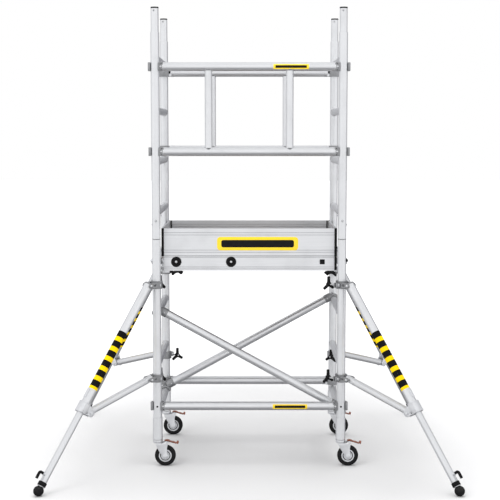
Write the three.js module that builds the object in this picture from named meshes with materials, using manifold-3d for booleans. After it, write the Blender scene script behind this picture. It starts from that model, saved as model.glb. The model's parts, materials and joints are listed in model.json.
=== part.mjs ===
// A mobile tower scaffold: two ladder frames stacked on each side, braces, guardrails, a trapdoor
// platform with toe boards, four braked casters and four telescopic outriggers.
// Millimetres, +Z up. The origin is on the floor, at the middle of the four posts.
// +X runs along the platform and -Y is the front.
import * as THREE from "three";
import { mergeVertices } from "three/addons/utils/BufferGeometryUtils.js";
import Module from "manifold-3d";

// ---- Driving dimensions ----
const POST_X = 545; // half the distance between the left and right posts' axes
const POST_Y = 366.5; // half the distance between the front and rear posts' axes
const POST_R = 25.4;
const POST_BORE_R = 23.4;
const RUNG_R = 22;
const RUNG_BORE_R = 20;
const GAP = 0.3; // between faces that rest on each other

const FRAME_BOTTOM = 159; // height of the base frames' lower ends, on top of the casters
const FRAME_LENGTH = 1200; // a frame's post, without its spigot
const RUNG_HEIGHTS = [150, 450, 750, 1050]; // above the frame's lower end
const SPIGOT_R = 22.5;
const SPIGOT_BORE_R = 20.5;
const SPIGOT_UP = 143;
const SPIGOT_DOWN = 60; // how far the narrow bore reaches below the shoulder
const COLLAR_R = 28.5; // sleeve round the foot of a base post
const COLLAR_LENGTH = 135;

const RAIL_R = 25.4;
const RAIL_BORE_R = 23.2;
const RAIL_END = 503; // half the length of a rail's tube
const RAIL_Z = [1871, 2361];
const BALUSTER_X = 236;
const BALUSTER_R = 21.5;
const BASE_BRACE_Z = 362;
const CLAW_INNER_R = 26.8;
const CLAW_OUTER_R = 41;
const CLAW_HEIGHT = 50;
const CLAW_LIP = 14; // how far the outer lip passes the post's axis

const DIAGONAL_R = 24;
const DIAGONAL_BORE_R = 21.6;
const DIAGONAL_Y = 300;
const DIAGONAL_RUNGS = [0, 2]; // the rungs that a diagonal joins, counted from the bottom
const DIAGONAL_RISE = 28; // the brace's axis above the rung's axis, at the rung
const HOOK_CLEARANCE = 1.2;
const HOOK_WALL = 11;
const HOOK_WIDTH = 40;

const DECK_TOP = 1250;
const DECK_THICKNESS = 15;
const BEAM_Z = [1167, 1253];
const BEAM_OUTER_Y = 321.5;
const BEAM_THICKNESS = 26;
const PLATFORM_END = 505; // half the platform's length
const CROSS_BEAM = 28;
const PLATFORM_HOOK_Y = 285;
const TOE_BOARD_TOP = 1418;
const TOE_BOARD_THICKNESS = 18;
const END_BOARD_THICKNESS = 14;
const HATCH = { x0: -440, x1: 130, y0: -250, y1: 250 };
const HATCH_GAP = 3;
const FINGER_SLOT = { x: -155, y: -205, length: 110, width: 36 };

const WHEEL_R = 62.5;
const TRAIL = 44; // the wheel's axle behind the swivel axis
const AXLE_R = 8;
const STEM_R = 22;
const STEM_LENGTH = 75;
const FORK_PLATE = 3.5;
const FORK_HALF_GAP = 21;
const PEDAL_PIVOT = { x: 54, z: 146 };

const OUTRIGGER_PIVOT_R = 68; // from the post's axis to the pivots of leg and brace
const UPPER_CLAMP_Z = 1090;
const LOWER_CLAMP_Z = 532;
const FOOT_RADIUS = 860; // from the post's axis to the middle of the foot
const FOOT_BALL_R = 30;
const LEG_R = 25;
const LEG_BORE_R = 22;
const LEG_END = 840; // along the leg, from its pivot
const BRACKET_SPAN = [774, 840];
const BRACE_PIVOT = { s: 812, n: 52 }; // along the leg, and off its axis towards the post
const BRACE_HEIGHT = 40;
const BRACE_WIDTH = 36;
const EXTENSION_R = 19;
const EXTENSION_BORE_R = 16;
const EXTENSION_TOP = 470;
const LOCK_S = 1230; // the lock handle's place along the leg
const CLAMP_R = 34;
const CLAMP_HEIGHT = 46;
const EAR_INNER = 26.5;
const EAR_THICKNESS = 6;
const PIVOT_BOLT_R = 6;

// ---- Finishes ----
const finish = (color, roughness, metalness) =>
  new THREE.MeshStandardMaterial({ color, roughness, metalness });
const ALUMINIUM = finish(0xe4e6e8, 0.38, 0.85);
const CAST_ALLOY = finish(0x8a8d90, 0.55, 0.8);
const ZINC = finish(0xd2d6da, 0.35, 0.9);
const RUBBER = finish(0x1c1c1e, 0.85, 0);
const BLACK_PLASTIC = finish(0x141416, 0.5, 0);
const PLYWOOD = finish(0x6b5238, 0.7, 0);
const BRAKE_COPPER = finish(0xb4643c, 0.45, 0.6);
const HAZARD_YELLOW = finish(0xf2c40f, 0.5, 0);

// ---- Solids ----
const wasm = await Module();
wasm.setup();

const vec = (x, y, z) => new THREE.Vector3(x, y, z);

// A closed geometry as a solid that can be joined and cut.
function solid(geometry) {
  const bare = geometry.index ? geometry.toNonIndexed() : geometry.clone();
  bare.deleteAttribute("normal");
  bare.deleteAttribute("uv");
  const merged = mergeVertices(bare, 1e-3);
  return new wasm.Manifold(
    new wasm.Mesh({
      numProp: 3,
      vertProperties: merged.attributes.position.array,
      triVerts: new Uint32Array(merged.index.array),
    }),
  );
}

function geometryOf(manifold) {
  const mesh = manifold.getMesh();
  return new THREE.BufferGeometry()
    .setAttribute("position", new THREE.BufferAttribute(mesh.vertProperties, 3))
    .setIndex(new THREE.BufferAttribute(mesh.triVerts, 1));
}

const join = (...parts) => parts.reduce((all, part) => all.add(part));
const cut = (body, ...tools) => tools.reduce((rest, tool) => rest.subtract(tool), body);

// A round bar between two points.
function rod(radius, from, to, sides = 10) {
  const along = to.clone().sub(from);
  const geometry = new THREE.CylinderGeometry(radius, radius, along.length(), sides);
  const turn = new THREE.Quaternion().setFromUnitVectors(vec(0, 1, 0), along.normalize());
  const middle = from.clone().add(to).multiplyScalar(0.5);
  return solid(geometry.applyQuaternion(turn).translate(middle.x, middle.y, middle.z));
}

function box(x0, x1, y0, y1, z0, z1) {
  const geometry = new THREE.BoxGeometry(x1 - x0, y1 - y0, z1 - z0);
  return solid(geometry.translate((x0 + x1) / 2, (y0 + y1) / 2, (z0 + z1) / 2));
}

// An outline in X and Y, extruded upwards from z0 to z1.
function slab(shape, z0, z1, curveSegments = 8) {
  const options = { depth: z1 - z0, bevelEnabled: false, curveSegments };
  return solid(new THREE.ExtrudeGeometry(shape, options).translate(0, 0, z0));
}

// An outline in X and Z, extruded along Y between -half and half about the given middle.
function uprightSlab(shape, middle, half, curveSegments = 8) {
  const options = { depth: 2 * half, bevelEnabled: false, curveSegments };
  const geometry = new THREE.ExtrudeGeometry(shape, options).translate(0, 0, -half);
  return solid(geometry.rotateX(Math.PI / 2).translate(0, middle, 0));
}

function mesh(name, manifold, material) {
  const made = new THREE.Mesh(geometryOf(manifold), material);
  made.name = name;
  return made;
}

function placed(x, y, z, ...children) {
  const group = new THREE.Group();
  group.position.set(x, y, z);
  return group.add(...children);
}

// ---- Ladder frames, in a frame whose origin is at the lower end, between the two posts ----
function postOutside(y, collar) {
  const shaft = join(
    rod(POST_R, vec(0, y, GAP), vec(0, y, FRAME_LENGTH)),
    rod(SPIGOT_R, vec(0, y, FRAME_LENGTH - 1), vec(0, y, FRAME_LENGTH + SPIGOT_UP)),
  );
  return collar ? join(shaft, rod(COLLAR_R, vec(0, y, GAP), vec(0, y, COLLAR_LENGTH))) : shaft;
}

function postBore(y) {
  const neck = FRAME_LENGTH - SPIGOT_DOWN;
  return join(
    rod(POST_BORE_R, vec(0, y, -1), vec(0, y, neck)),
    rod(SPIGOT_BORE_R, vec(0, y, neck - 1), vec(0, y, FRAME_LENGTH + SPIGOT_UP + 1)),
  );
}

function ladderFrame(collar) {
  const posts = [-POST_Y, POST_Y];
  const rung = (radius, z) => rod(radius, vec(0, -POST_Y, z), vec(0, POST_Y, z), 8);
  return cut(
    join(...posts.map((y) => postOutside(y, collar)), ...RUNG_HEIGHTS.map((z) => rung(RUNG_R, z))),
    ...posts.map(postBore),
    ...RUNG_HEIGHTS.map((z) => rung(RUNG_BORE_R, z)),
  );
}

// ---- Guardrails and base braces ----
// A claw that holds a post from inside the tower. side is -1 at the left post and 1 at the right
// one; inward is the Y direction from the post into the tower.
function claw(side, y, z, inward) {
  const shape = new THREE.Shape();
  const reach = -Math.PI / 4;
  const boss = POST_X - RAIL_END + 1;
  shape.moveTo(CLAW_INNER_R * Math.cos(reach), CLAW_INNER_R * Math.sin(reach));
  shape.lineTo(boss, -RAIL_R);
  shape.lineTo(boss, RAIL_R);
  shape.absarc(0, 0, CLAW_OUTER_R, Math.PI / 4, Math.PI, false);
  shape.lineTo(-CLAW_OUTER_R, -CLAW_LIP);
  shape.lineTo(-CLAW_INNER_R, -CLAW_LIP);
  shape.absarc(0, 0, CLAW_INNER_R, Math.PI, reach, true);
  const upright = slab(shape, z - CLAW_HEIGHT / 2, z + CLAW_HEIGHT / 2);
  return upright.scale([-side, inward, 1]).translate([side * POST_X, y, 0]);
}

// A horizontal tube with a claw at each end and a drain hole near the left one.
function railParts(y, z) {
  const inward = -Math.sign(y);
  const drainX = -RAIL_END + 60;
  return {
    outside: join(
      rod(RAIL_R, vec(-RAIL_END, y, z), vec(RAIL_END, y, z), 8),
      claw(-1, y, z, inward),
      claw(1, y, z, inward),
    ),
    bore: join(
      rod(RAIL_BORE_R, vec(-RAIL_END + 8, y, z), vec(RAIL_END - 8, y, z), 8),
      rod(5, vec(drainX, y, z - RAIL_R - 1), vec(drainX, y, z), 4),
    ),
  };
}

function baseBrace(y) {
  const rail = railParts(y, BASE_BRACE_Z);
  return cut(rail.outside, rail.bore);
}

function guardrail(y) {
  const rails = RAIL_Z.map((z) => railParts(y, z));
  const balusters = [-BALUSTER_X, BALUSTER_X].map((x) =>
    rod(BALUSTER_R, vec(x, y, RAIL_Z[0]), vec(x, y, RAIL_Z[1]), 8),
  );
  return cut(join(...rails.map((r) => r.outside), ...balusters), ...rails.map((r) => r.bore));
}

// ---- Hooks that sit over a rung, which runs along Y ----
function hookArc(x, y, z, width, outward) {
  const inner = RUNG_R + HOOK_CLEARANCE;
  const outer = inner + HOOK_WALL;
  const lip = -6;
  const shape = new THREE.Shape();
  shape.moveTo(inner, lip);
  shape.lineTo(outer, lip);
  shape.absarc(0, 0, outer, 0, Math.PI, false);
  shape.lineTo(-inner, 0);
  shape.absarc(0, 0, inner, Math.PI, 0, true);
  return uprightSlab(shape, 0, width / 2).scale([outward, 1, 1]).translate([x, y, z]);
}

function diagonalBrace(y, highSide) {
  const [low, high] = DIAGONAL_RUNGS.map((i) => FRAME_BOTTOM + RUNG_HEIGHTS[i]);
  const top = vec(highSide * POST_X, y, high);
  const foot = vec(-highSide * POST_X, y, low);
  const rise = vec(0, 0, DIAGONAL_RISE);
  const from = top.clone().add(rise);
  const to = foot.clone().add(rise);
  const along = to.clone().sub(from).normalize();
  const boreFrom = from.clone().addScaledVector(along, 60);
  const boreTo = to.clone().addScaledVector(along, -60);
  const drain = boreTo.clone().addScaledVector(along, -10);
  const rungs = [top, foot].map((p) =>
    rod(RUNG_R + HOOK_CLEARANCE, p.clone().setY(y - 60), p.clone().setY(y + 60)),
  );
  return cut(
    join(
      rod(DIAGONAL_R, from, to, 8),
      hookArc(top.x, y, top.z, HOOK_WIDTH, highSide),
      hookArc(foot.x, y, foot.z, HOOK_WIDTH, -highSide),
    ),
    ...rungs,
    rod(DIAGONAL_BORE_R, boreFrom, boreTo, 8),
    rod(4, drain, drain.clone().add(vec(0, 0, -DIAGONAL_R * 2)), 4),
  );
}

// ---- Platform ----
function platformFrame() {
  const innerY = BEAM_OUTER_Y - BEAM_THICKNESS;
  const deckUnderside = DECK_TOP - DECK_THICKNESS - GAP;
  const crossZ = [BEAM_Z[0] + 15, deckUnderside];
  const hookZ = FRAME_BOTTOM + RUNG_HEIGHTS[3];
  const sideBeam = (sign) => {
    const [y0, y1] = [sign * innerY, sign * BEAM_OUTER_Y].sort((a, b) => a - b);
    return box(-PLATFORM_END, PLATFORM_END, y0, y1, ...BEAM_Z);
  };
  const crossBeam = (x) => box(x, x + CROSS_BEAM, -innerY - 1, innerY + 1, ...crossZ);
  const crossBeams = [-PLATFORM_END, HATCH.x1 + 8, PLATFORM_END - CROSS_BEAM].map(crossBeam);
  const hooks = [];
  for (const side of [-1, 1])
    for (const y of [-PLATFORM_HOOK_Y, PLATFORM_HOOK_Y]) {
      const [x0, x1] = [side * (PLATFORM_END - 5), side * (POST_X - RUNG_R - 1)].sort((a, b) => a - b);
      hooks.push(
        hookArc(side * POST_X, y, hookZ, HOOK_WIDTH, side),
        box(x0, x1, y - HOOK_WIDTH / 2, y + HOOK_WIDTH / 2, crossZ[0], deckUnderside),
      );
    }
  const rungs = [-POST_X, POST_X].map((x) =>
    rod(RUNG_R + HOOK_CLEARANCE, vec(x, -innerY, hookZ), vec(x, innerY, hookZ)),
  );
  return cut(join(sideBeam(-1), sideBeam(1), ...crossBeams, ...hooks), ...rungs);
}

function deckBoard() {
  const halfY = BEAM_OUTER_Y - BEAM_THICKNESS - GAP;
  const z = [DECK_TOP - DECK_THICKNESS, DECK_TOP];
  return cut(
    box(-PLATFORM_END, PLATFORM_END, -halfY, halfY, ...z),
    box(HATCH.x0, HATCH.x1, HATCH.y0, HATCH.y1, z[0] - 1, z[1] + 1),
  );
}

// The hatch's leaf: a board with battens below, and a slot for the fingers.
function trapdoor() {
  const [x0, x1] = [HATCH.x0 + HATCH_GAP, HATCH.x1 - HATCH_GAP];
  const [y0, y1] = [HATCH.y0 + HATCH_GAP, HATCH.y1 - HATCH_GAP];
  const z = [DECK_TOP - DECK_THICKNESS, DECK_TOP];
  const batten = (x) => box(x, x + 30, y0 + 20, y1 - 20, z[0] - 20, z[0] + 1);
  const slot = FINGER_SLOT;
  return cut(
    join(box(x0, x1, y0, y1, ...z), batten(x0 + 20), batten(x1 - 50)),
    box(slot.x - slot.length / 2, slot.x + slot.length / 2, slot.y - slot.width / 2,
      slot.y + slot.width / 2, z[0] - 1, z[1] + 1),
  );
}

// Long toe boards stand on the side beams, and short ones close the platform's ends, against theirs.
function longToeBoard(sign) {
  const outer = sign * BEAM_OUTER_Y;
  const [y0, y1] = [outer, outer - sign * TOE_BOARD_THICKNESS].sort((a, b) => a - b);
  return box(-PLATFORM_END, PLATFORM_END, y0, y1, BEAM_Z[1] + GAP, TOE_BOARD_TOP);
}

function shortToeBoard(sign) {
  const inner = sign * (PLATFORM_END + GAP);
  const [x0, x1] = [inner, inner + sign * END_BOARD_THICKNESS].sort((a, b) => a - b);
  return box(x0, x1, -BEAM_OUTER_Y, BEAM_OUTER_Y, BEAM_Z[1] + GAP, TOE_BOARD_TOP);
}

// ---- Casters, in a frame whose origin is on the floor, on the post's axis ----
function casterFork() {
  const crown = [137, 141];
  const plate = new THREE.Shape();
  plate.moveTo(-14, crown[1]);
  plate.lineTo(TRAIL - 13, WHEEL_R - 4);
  plate.absarc(TRAIL, WHEEL_R, 14, Math.PI * 1.1, Math.PI * 2, false);
  plate.lineTo(PEDAL_PIVOT.x + 3, 128);
  plate.lineTo(PEDAL_PIVOT.x + 8, PEDAL_PIVOT.z + 3);
  plate.lineTo(PEDAL_PIVOT.x - 6, PEDAL_PIVOT.z + 6);
  plate.lineTo(32, crown[1]);
  const middle = FORK_HALF_GAP + FORK_PLATE / 2;
  const outer = FORK_HALF_GAP + FORK_PLATE;
  const axleEnd = outer + 6;
  const axle = (r, from, to) => rod(r, vec(TRAIL, from, WHEEL_R), vec(TRAIL, to, WHEEL_R), 6);
  const pedalHole = (y) =>
    rod(4.6, vec(PEDAL_PIVOT.x, y - 6, PEDAL_PIVOT.z), vec(PEDAL_PIVOT.x, y + 6, PEDAL_PIVOT.z), 6);
  return cut(
    join(
      uprightSlab(plate, -middle, FORK_PLATE / 2, 4),
      uprightSlab(plate, middle, FORK_PLATE / 2, 4),
      box(-14, 32, -outer, outer, ...crown),
      rod(29, vec(0, 0, crown[1] - 1), vec(0, 0, FRAME_BOTTOM - 1)),
      rod(STEM_R, vec(0, 0, FRAME_BOTTOM - 2), vec(0, 0, FRAME_BOTTOM + STEM_LENGTH), 8),
      axle(AXLE_R, -axleEnd, axleEnd),
    ),
    pedalHole(-middle),
    pedalHole(middle),
  );
}

function casterWheel() {
  const profile = [
    [AXLE_R + 1, -19], [22, -14], [56, -15], [WHEEL_R, -8],
    [WHEEL_R, 8], [56, 15], [22, 14], [AXLE_R + 1, 19],
  ];
  const points = [...profile, profile[0]].map(([r, y]) => new THREE.Vector2(r, y));
  return solid(new THREE.LatheGeometry(points, 16)).translate([TRAIL, 0, WHEEL_R]);
}

// The brake's foot lever, with a stub on each side that turns in the fork.
function brakePedal() {
  const { x, z } = PEDAL_PIVOT;
  const shape = new THREE.Shape();
  shape.moveTo(x - 14, z + 5);
  shape.lineTo(x - 2, z - 6);
  shape.lineTo(x + 24, z - 1);
  shape.lineTo(x + 56, z - 7);
  shape.lineTo(x + 70, z - 2);
  shape.lineTo(x + 68, z + 4);
  shape.lineTo(x + 56, z + 1);
  shape.lineTo(x + 26, z + 8);
  shape.lineTo(x - 2, z + 7);
  shape.lineTo(x - 14, z + 9);
  const reach = FORK_HALF_GAP + FORK_PLATE - 0.5;
  return join(uprightSlab(shape, 0, 14), rod(3.6, vec(x, -reach, z), vec(x, reach, z), 6));
}

// ---- Outriggers, in a frame whose origin is on the floor on the post's axis, +X outwards ----
const LEG_TOP = vec(OUTRIGGER_PIVOT_R, 0, UPPER_CLAMP_Z);
const FOOT_CENTRE = vec(FOOT_RADIUS, 0, FOOT_BALL_R);
const LEG_LENGTH = FOOT_CENTRE.distanceTo(LEG_TOP);
const LEG_ALONG = FOOT_CENTRE.clone().sub(LEG_TOP).normalize();
const LEG_INWARD = vec(LEG_ALONG.z, 0, -LEG_ALONG.x); // square to the leg, towards the post

// A point s along the leg, n towards the post and t across the outrigger's plane.
const onLeg = (s, n = 0, t = 0) =>
  LEG_TOP.clone().addScaledVector(LEG_ALONG, s).addScaledVector(LEG_INWARD, n).add(vec(0, t, 0));

// A block between two values of s, n and t.
function legBlock(s, n, t) {
  const block = new THREE.BoxGeometry(n[1] - n[0], t[1] - t[0], s[1] - s[0]);
  block.translate((n[0] + n[1]) / 2, (t[0] + t[1]) / 2, (s[0] + s[1]) / 2);
  const axes = new THREE.Matrix4().makeBasis(LEG_INWARD, vec(0, 1, 0), LEG_ALONG);
  return solid(block.applyMatrix4(axes.setPosition(LEG_TOP)));
}

function outriggerLeg() {
  const { s, n } = BRACE_PIVOT;
  const outer = LEG_R + 4;
  const plate = [BRACE_WIDTH / 2 + 2, outer];
  const pivotHole = rod(PIVOT_BOLT_R + 1.2, onLeg(0, 0, -LEG_R - 1), onLeg(0, 0, LEG_R + 1), 6);
  return cut(
    join(
      rod(LEG_R, onLeg(-16), onLeg(LEG_END)),
      legBlock(BRACKET_SPAN, [-outer, LEG_R + 1], [-outer, outer]),
      legBlock(BRACKET_SPAN, [0, n + 22], plate),
      legBlock(BRACKET_SPAN, [0, n + 22], [-plate[1], -plate[0]]),
      rod(PIVOT_BOLT_R, onLeg(s, n, -outer - 5), onLeg(s, n, outer + 5), 6),
    ),
    rod(LEG_BORE_R, onLeg(-17), onLeg(LEG_END + 1)),
    pivotHole,
  );
}

function outriggerExtension() {
  const end = LEG_LENGTH - FOOT_BALL_R - 25 - GAP;
  return cut(
    join(
      rod(EXTENSION_R, onLeg(EXTENSION_TOP), onLeg(end)),
      rod(10, onLeg(LOCK_S, -EXTENSION_R + 3), onLeg(LOCK_S, -EXTENSION_R - 12), 6),
    ),
    rod(EXTENSION_BORE_R, onLeg(EXTENSION_TOP - 1), onLeg(end + 1)),
    rod(6, onLeg(LOCK_S, 0), onLeg(LOCK_S, -EXTENSION_R - 13), 6),
  );
}

function outriggerFoot() {
  const ball = new THREE.SphereGeometry(FOOT_BALL_R, 10, 6).rotateX(Math.PI / 2);
  ball.translate(FOOT_CENTRE.x, FOOT_CENTRE.y, FOOT_CENTRE.z);
  const collarTop = LEG_LENGTH - FOOT_BALL_R - 25;
  return join(solid(ball), rod(24, onLeg(collarTop), onLeg(collarTop + 27)));
}

// An L-shaped handle on a spring pin that goes through the boss into the tube.
function lockHandle() {
  const out = -EXTENSION_R - 37;
  const elbow = onLeg(LOCK_S, out);
  return join(
    rod(4.6, onLeg(LOCK_S, -11), onLeg(LOCK_S, out + 10), 6),
    rod(6.5, onLeg(LOCK_S, -EXTENSION_R - 12 - GAP), elbow, 6),
    rod(6.5, onLeg(LOCK_S - 6.5, out), onLeg(LOCK_S + 42, out), 6),
  );
}

// The brace's tube is flattened: an eight-sided outline whose wide faces stand upright.
function outriggerBrace() {
  const from = vec(OUTRIGGER_PIVOT_R, 0, LOWER_CLAMP_Z);
  const to = onLeg(BRACE_PIVOT.s, BRACE_PIVOT.n);
  const along = to.clone().sub(from).normalize();
  const up = vec(-along.z, 0, along.x);
  const start = from.clone().addScaledVector(along, -18);
  const length = to.distanceTo(from) + 18 + 14;
  const outline = (h, w) => {
    const shape = new THREE.Shape();
    const corner = 9;
    shape.moveTo(h, w - corner).lineTo(h - corner, w).lineTo(corner - h, w).lineTo(-h, w - corner);
    shape.lineTo(-h, corner - w).lineTo(corner - h, -w).lineTo(h - corner, -w).lineTo(h, corner - w);
    return shape;
  };
  const bar = (h, w, lead) => {
    const options = { depth: length + 2 * lead, bevelEnabled: false };
    const geometry = new THREE.ExtrudeGeometry(outline(h, w), options).translate(0, 0, -lead);
    const axes = new THREE.Matrix4().makeBasis(up, vec(0, 1, 0), along.clone().negate());
    axes.setPosition(start.clone().addScaledVector(along, length));
    return solid(geometry.applyMatrix4(axes));
  };
  const hole = (p) => rod(PIVOT_BOLT_R + 1.2, p.clone().setY(-30), p.clone().setY(30), 6);
  return cut(
    bar(BRACE_HEIGHT / 2, BRACE_WIDTH / 2, 0),
    bar(BRACE_HEIGHT / 2 - 3, BRACE_WIDTH / 2 - 3, 1),
    hole(from),
    hole(to),
  );
}

// A half coupler round the post, open at its bolt lugs, with two ears and a bolt for the pivot.
function postClamp(z) {
  const [z0, z1] = [z - CLAMP_HEIGHT / 2, z + CLAMP_HEIGHT / 2];
  const ring = new THREE.Shape();
  ring.absarc(0, 0, CLAMP_R, 0, 2 * Math.PI, false);
  const lugs = box(-14, 14, -58, -CLAMP_R + 6, z0 + 8, z1 - 8);
  const ear = (sign) => {
    const [y0, y1] = [sign * EAR_INNER, sign * (EAR_INNER + EAR_THICKNESS)].sort((a, b) => a - b);
    return box(4, OUTRIGGER_PIVOT_R + 15, y0, y1, z0 + 5, z1 - 5);
  };
  const bolt = EAR_INNER + EAR_THICKNESS + 7;
  return cut(
    join(
      slab(ring, z0, z1, 10),
      lugs,
      ear(-1),
      ear(1),
      rod(PIVOT_BOLT_R, vec(OUTRIGGER_PIVOT_R, -bolt, z), vec(OUTRIGGER_PIVOT_R, bolt, z), 6),
    ),
    rod(CLAW_INNER_R, vec(0, 0, z0 - 1), vec(0, 0, z1 + 1), 12),
    box(-4, 4, -60, 0, z0 - 1, z1 + 1),
  );
}

// ---- Assembly ----
const CORNERS = [
  { name: "front_left", x: -POST_X, y: -POST_Y, heading: 225 },
  { name: "front_right", x: POST_X, y: -POST_Y, heading: 315 },
  { name: "rear_left", x: -POST_X, y: POST_Y, heading: 135 },
  { name: "rear_right", x: POST_X, y: POST_Y, heading: 45 },
];

function caster(corner) {
  return placed(
    corner.x, corner.y, 0,
    mesh("caster_fork_" + corner.name, casterFork(), ZINC),
    mesh("caster_wheel_" + corner.name, casterWheel(), RUBBER),
    mesh("brake_pedal_" + corner.name, brakePedal(), BRAKE_COPPER),
  );
}

function outrigger(corner) {
  const group = placed(
    corner.x, corner.y, 0,
    mesh("outrigger_leg_" + corner.name, outriggerLeg(), HAZARD_YELLOW),
    mesh("outrigger_extension_" + corner.name, outriggerExtension(), ALUMINIUM),
    mesh("outrigger_foot_" + corner.name, outriggerFoot(), RUBBER),
    mesh("outrigger_brace_" + corner.name, outriggerBrace(), ALUMINIUM),
    mesh("upper_clamp_" + corner.name, postClamp(UPPER_CLAMP_Z), CAST_ALLOY),
    mesh("lower_clamp_" + corner.name, postClamp(LOWER_CLAMP_Z), CAST_ALLOY),
    mesh("lock_handle_" + corner.name, lockHandle(), BLACK_PLASTIC),
  );
  group.rotation.z = THREE.MathUtils.degToRad(corner.heading);
  return group;
}

function ladderFrames() {
  const group = new THREE.Group();
  for (const [side, x] of [["left", -POST_X], ["right", POST_X]]) {
    const upper = FRAME_BOTTOM + FRAME_LENGTH;
    group.add(placed(x, 0, FRAME_BOTTOM, mesh("base_frame_" + side, ladderFrame(true), ALUMINIUM)));
    group.add(placed(x, 0, upper, mesh("upper_frame_" + side, ladderFrame(false), ALUMINIUM)));
  }
  return group;
}

function railsAndBraces() {
  const group = new THREE.Group();
  for (const [side, sign] of [["front", -1], ["rear", 1]]) {
    group.add(
      mesh("base_brace_" + side, baseBrace(sign * POST_Y), ALUMINIUM),
      mesh("guardrail_" + side, guardrail(sign * POST_Y), ALUMINIUM),
      mesh("diagonal_brace_" + side, diagonalBrace(sign * DIAGONAL_Y, sign), ALUMINIUM),
    );
  }
  return group;
}

function platform() {
  return new THREE.Group().add(
    mesh("platform_frame", platformFrame(), ALUMINIUM),
    mesh("deck_board", deckBoard(), PLYWOOD),
    mesh("trapdoor", trapdoor(), PLYWOOD),
    mesh("toe_board_front", longToeBoard(-1), ALUMINIUM),
    mesh("toe_board_rear", longToeBoard(1), ALUMINIUM),
    mesh("toe_board_left", shortToeBoard(-1), ALUMINIUM),
    mesh("toe_board_right", shortToeBoard(1), ALUMINIUM),
  );
}

const tower = new THREE.Group();
tower.add(ladderFrames(), railsAndBraces(), platform());
tower.add(...CORNERS.map(caster), ...CORNERS.map(outrigger));

export default tower;
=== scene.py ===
"""A mobile tower scaffold, built round the fixed frame of its engineering model.

Everything is in metres, +Z up, with the origin on the floor at the middle of the four posts.
+X runs along the platform and -Y is the front. Places come from the frame; the sizes and the
colours that someone may want to change are properties of the scene.
"""

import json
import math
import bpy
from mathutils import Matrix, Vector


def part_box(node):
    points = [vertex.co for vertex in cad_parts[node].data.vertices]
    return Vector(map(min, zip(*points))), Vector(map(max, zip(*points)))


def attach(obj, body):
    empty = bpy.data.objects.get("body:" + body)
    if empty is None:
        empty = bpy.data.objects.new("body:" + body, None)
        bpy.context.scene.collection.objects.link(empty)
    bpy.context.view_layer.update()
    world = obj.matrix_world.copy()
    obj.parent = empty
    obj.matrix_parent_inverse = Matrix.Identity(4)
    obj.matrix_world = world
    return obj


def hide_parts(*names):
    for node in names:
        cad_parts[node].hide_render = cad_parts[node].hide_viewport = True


bl_info = {
    "name": "Mobile Tower Scaffold",
    "version": (1, 0, 0),
    "blender": (4, 5, 0),
    "location": "3D View > Sidebar > Scaffold",
    "description": "Builds the finished pieces of a mobile tower scaffold round its frame",
    "category": "Add Mesh",
}

import bmesh
import bpy
from bpy.props import FloatProperty, FloatVectorProperty, IntProperty, PointerProperty
from mathutils import Matrix, Vector

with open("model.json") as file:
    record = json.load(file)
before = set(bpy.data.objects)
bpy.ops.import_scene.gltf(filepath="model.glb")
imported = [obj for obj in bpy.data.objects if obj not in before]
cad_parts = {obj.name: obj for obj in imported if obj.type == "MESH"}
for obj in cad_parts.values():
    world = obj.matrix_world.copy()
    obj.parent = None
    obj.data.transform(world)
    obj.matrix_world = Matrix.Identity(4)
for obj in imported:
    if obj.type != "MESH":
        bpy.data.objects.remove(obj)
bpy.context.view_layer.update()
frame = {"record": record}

# ---- Places, from the frame ----
CORNERS = ("front_left", "front_right", "rear_left", "rear_right")
SIDES = (("left", -1), ("right", 1))
FACES = (("front", -1), ("rear", 1))
JOINTS = {joint["name"]: joint for joint in frame["record"]["behaviour"]["joints"]}
X, Y, Z = Vector((1, 0, 0)), Vector((0, 1, 0)), Vector((0, 0, 1))


def middle(node):
    low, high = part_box(node)
    return (low + high) / 2


def post_foot(corner):
    """Where a post's axis meets the floor."""
    place = Vector(JOINTS["outrigger_swing_" + corner]["pos_m"])
    return Vector((place.x, place.y, 0))


POST = {corner: post_foot(corner) for corner in CORNERS}
POST_X, POST_Y = POST["rear_right"].xy
FRAME_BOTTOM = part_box("base_frame_left")[0].z
BASE_BRACE_Z = middle("base_brace_front").z
GUARDRAIL_Z = middle("guardrail_front").z
CLAMP_Z = {level: middle(level + "_clamp_front_left").z for level in ("upper", "lower")}
BEAM_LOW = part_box("platform_frame")[0].z
BOARD_LOW, BOARD_HIGH = (corner.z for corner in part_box("toe_board_front"))
PLATFORM_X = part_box("toe_board_front")[1].x
PLATFORM_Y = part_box("toe_board_rear")[1].y
DECK_LOW, DECK_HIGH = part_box("deck_board")
HATCH_LOW, HATCH_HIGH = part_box("trapdoor")

# ---- Sizes that follow the tubes and castings of the engineering model ----
STOP_Z = 1.233  # of the stops on the outer sides of the base posts
SPIGOT_UP = 0.143
SPIGOT_RADIUS = 0.0225
COLLAR_RADIUS = 0.0285
COLLAR_LENGTH = 0.135
FIRST_RUNG = 0.150
RAIL_END = 0.503
RAIL_SPREAD = 0.245
BALUSTER_X = 0.236
BALUSTER_RADIUS = 0.0215
DIAGONAL_RADIUS = 0.024
DIAGONAL_Y = 0.300
DIAGONAL_RISE = 0.028
HOOK_CLEARANCE = 0.0012
BEAM_TOP = BOARD_LOW - 0.0003
BEAM_THICKNESS = 0.026
CROSS_BEAM = 0.028
TOE_BOARD_THICKNESS = 0.018
PLATFORM_HOOK_Y = 0.285
BUFFER_X = (-0.432, -0.107)
PLUG_X = 0.433
HOOK_WIDTH = 0.040
TRAIL = 0.044
AXLE_Z = 0.0625
PEDAL_PIVOT = Vector((0.054, 0, 0.146))
CAST_BORE = 0.0268
PIVOT_OUT = 0.068
BRACE_PIVOT = (0.812, 0.052)
LEG_END = 0.840  # this and the next four are measured along the leg from its pivot
BRACKET_SPAN = (0.774, LEG_END)
TAPE_SPAN = (0.318, 0.692)
EXTENSION_TOP = 0.470
LOCK_S = 1.230
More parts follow.
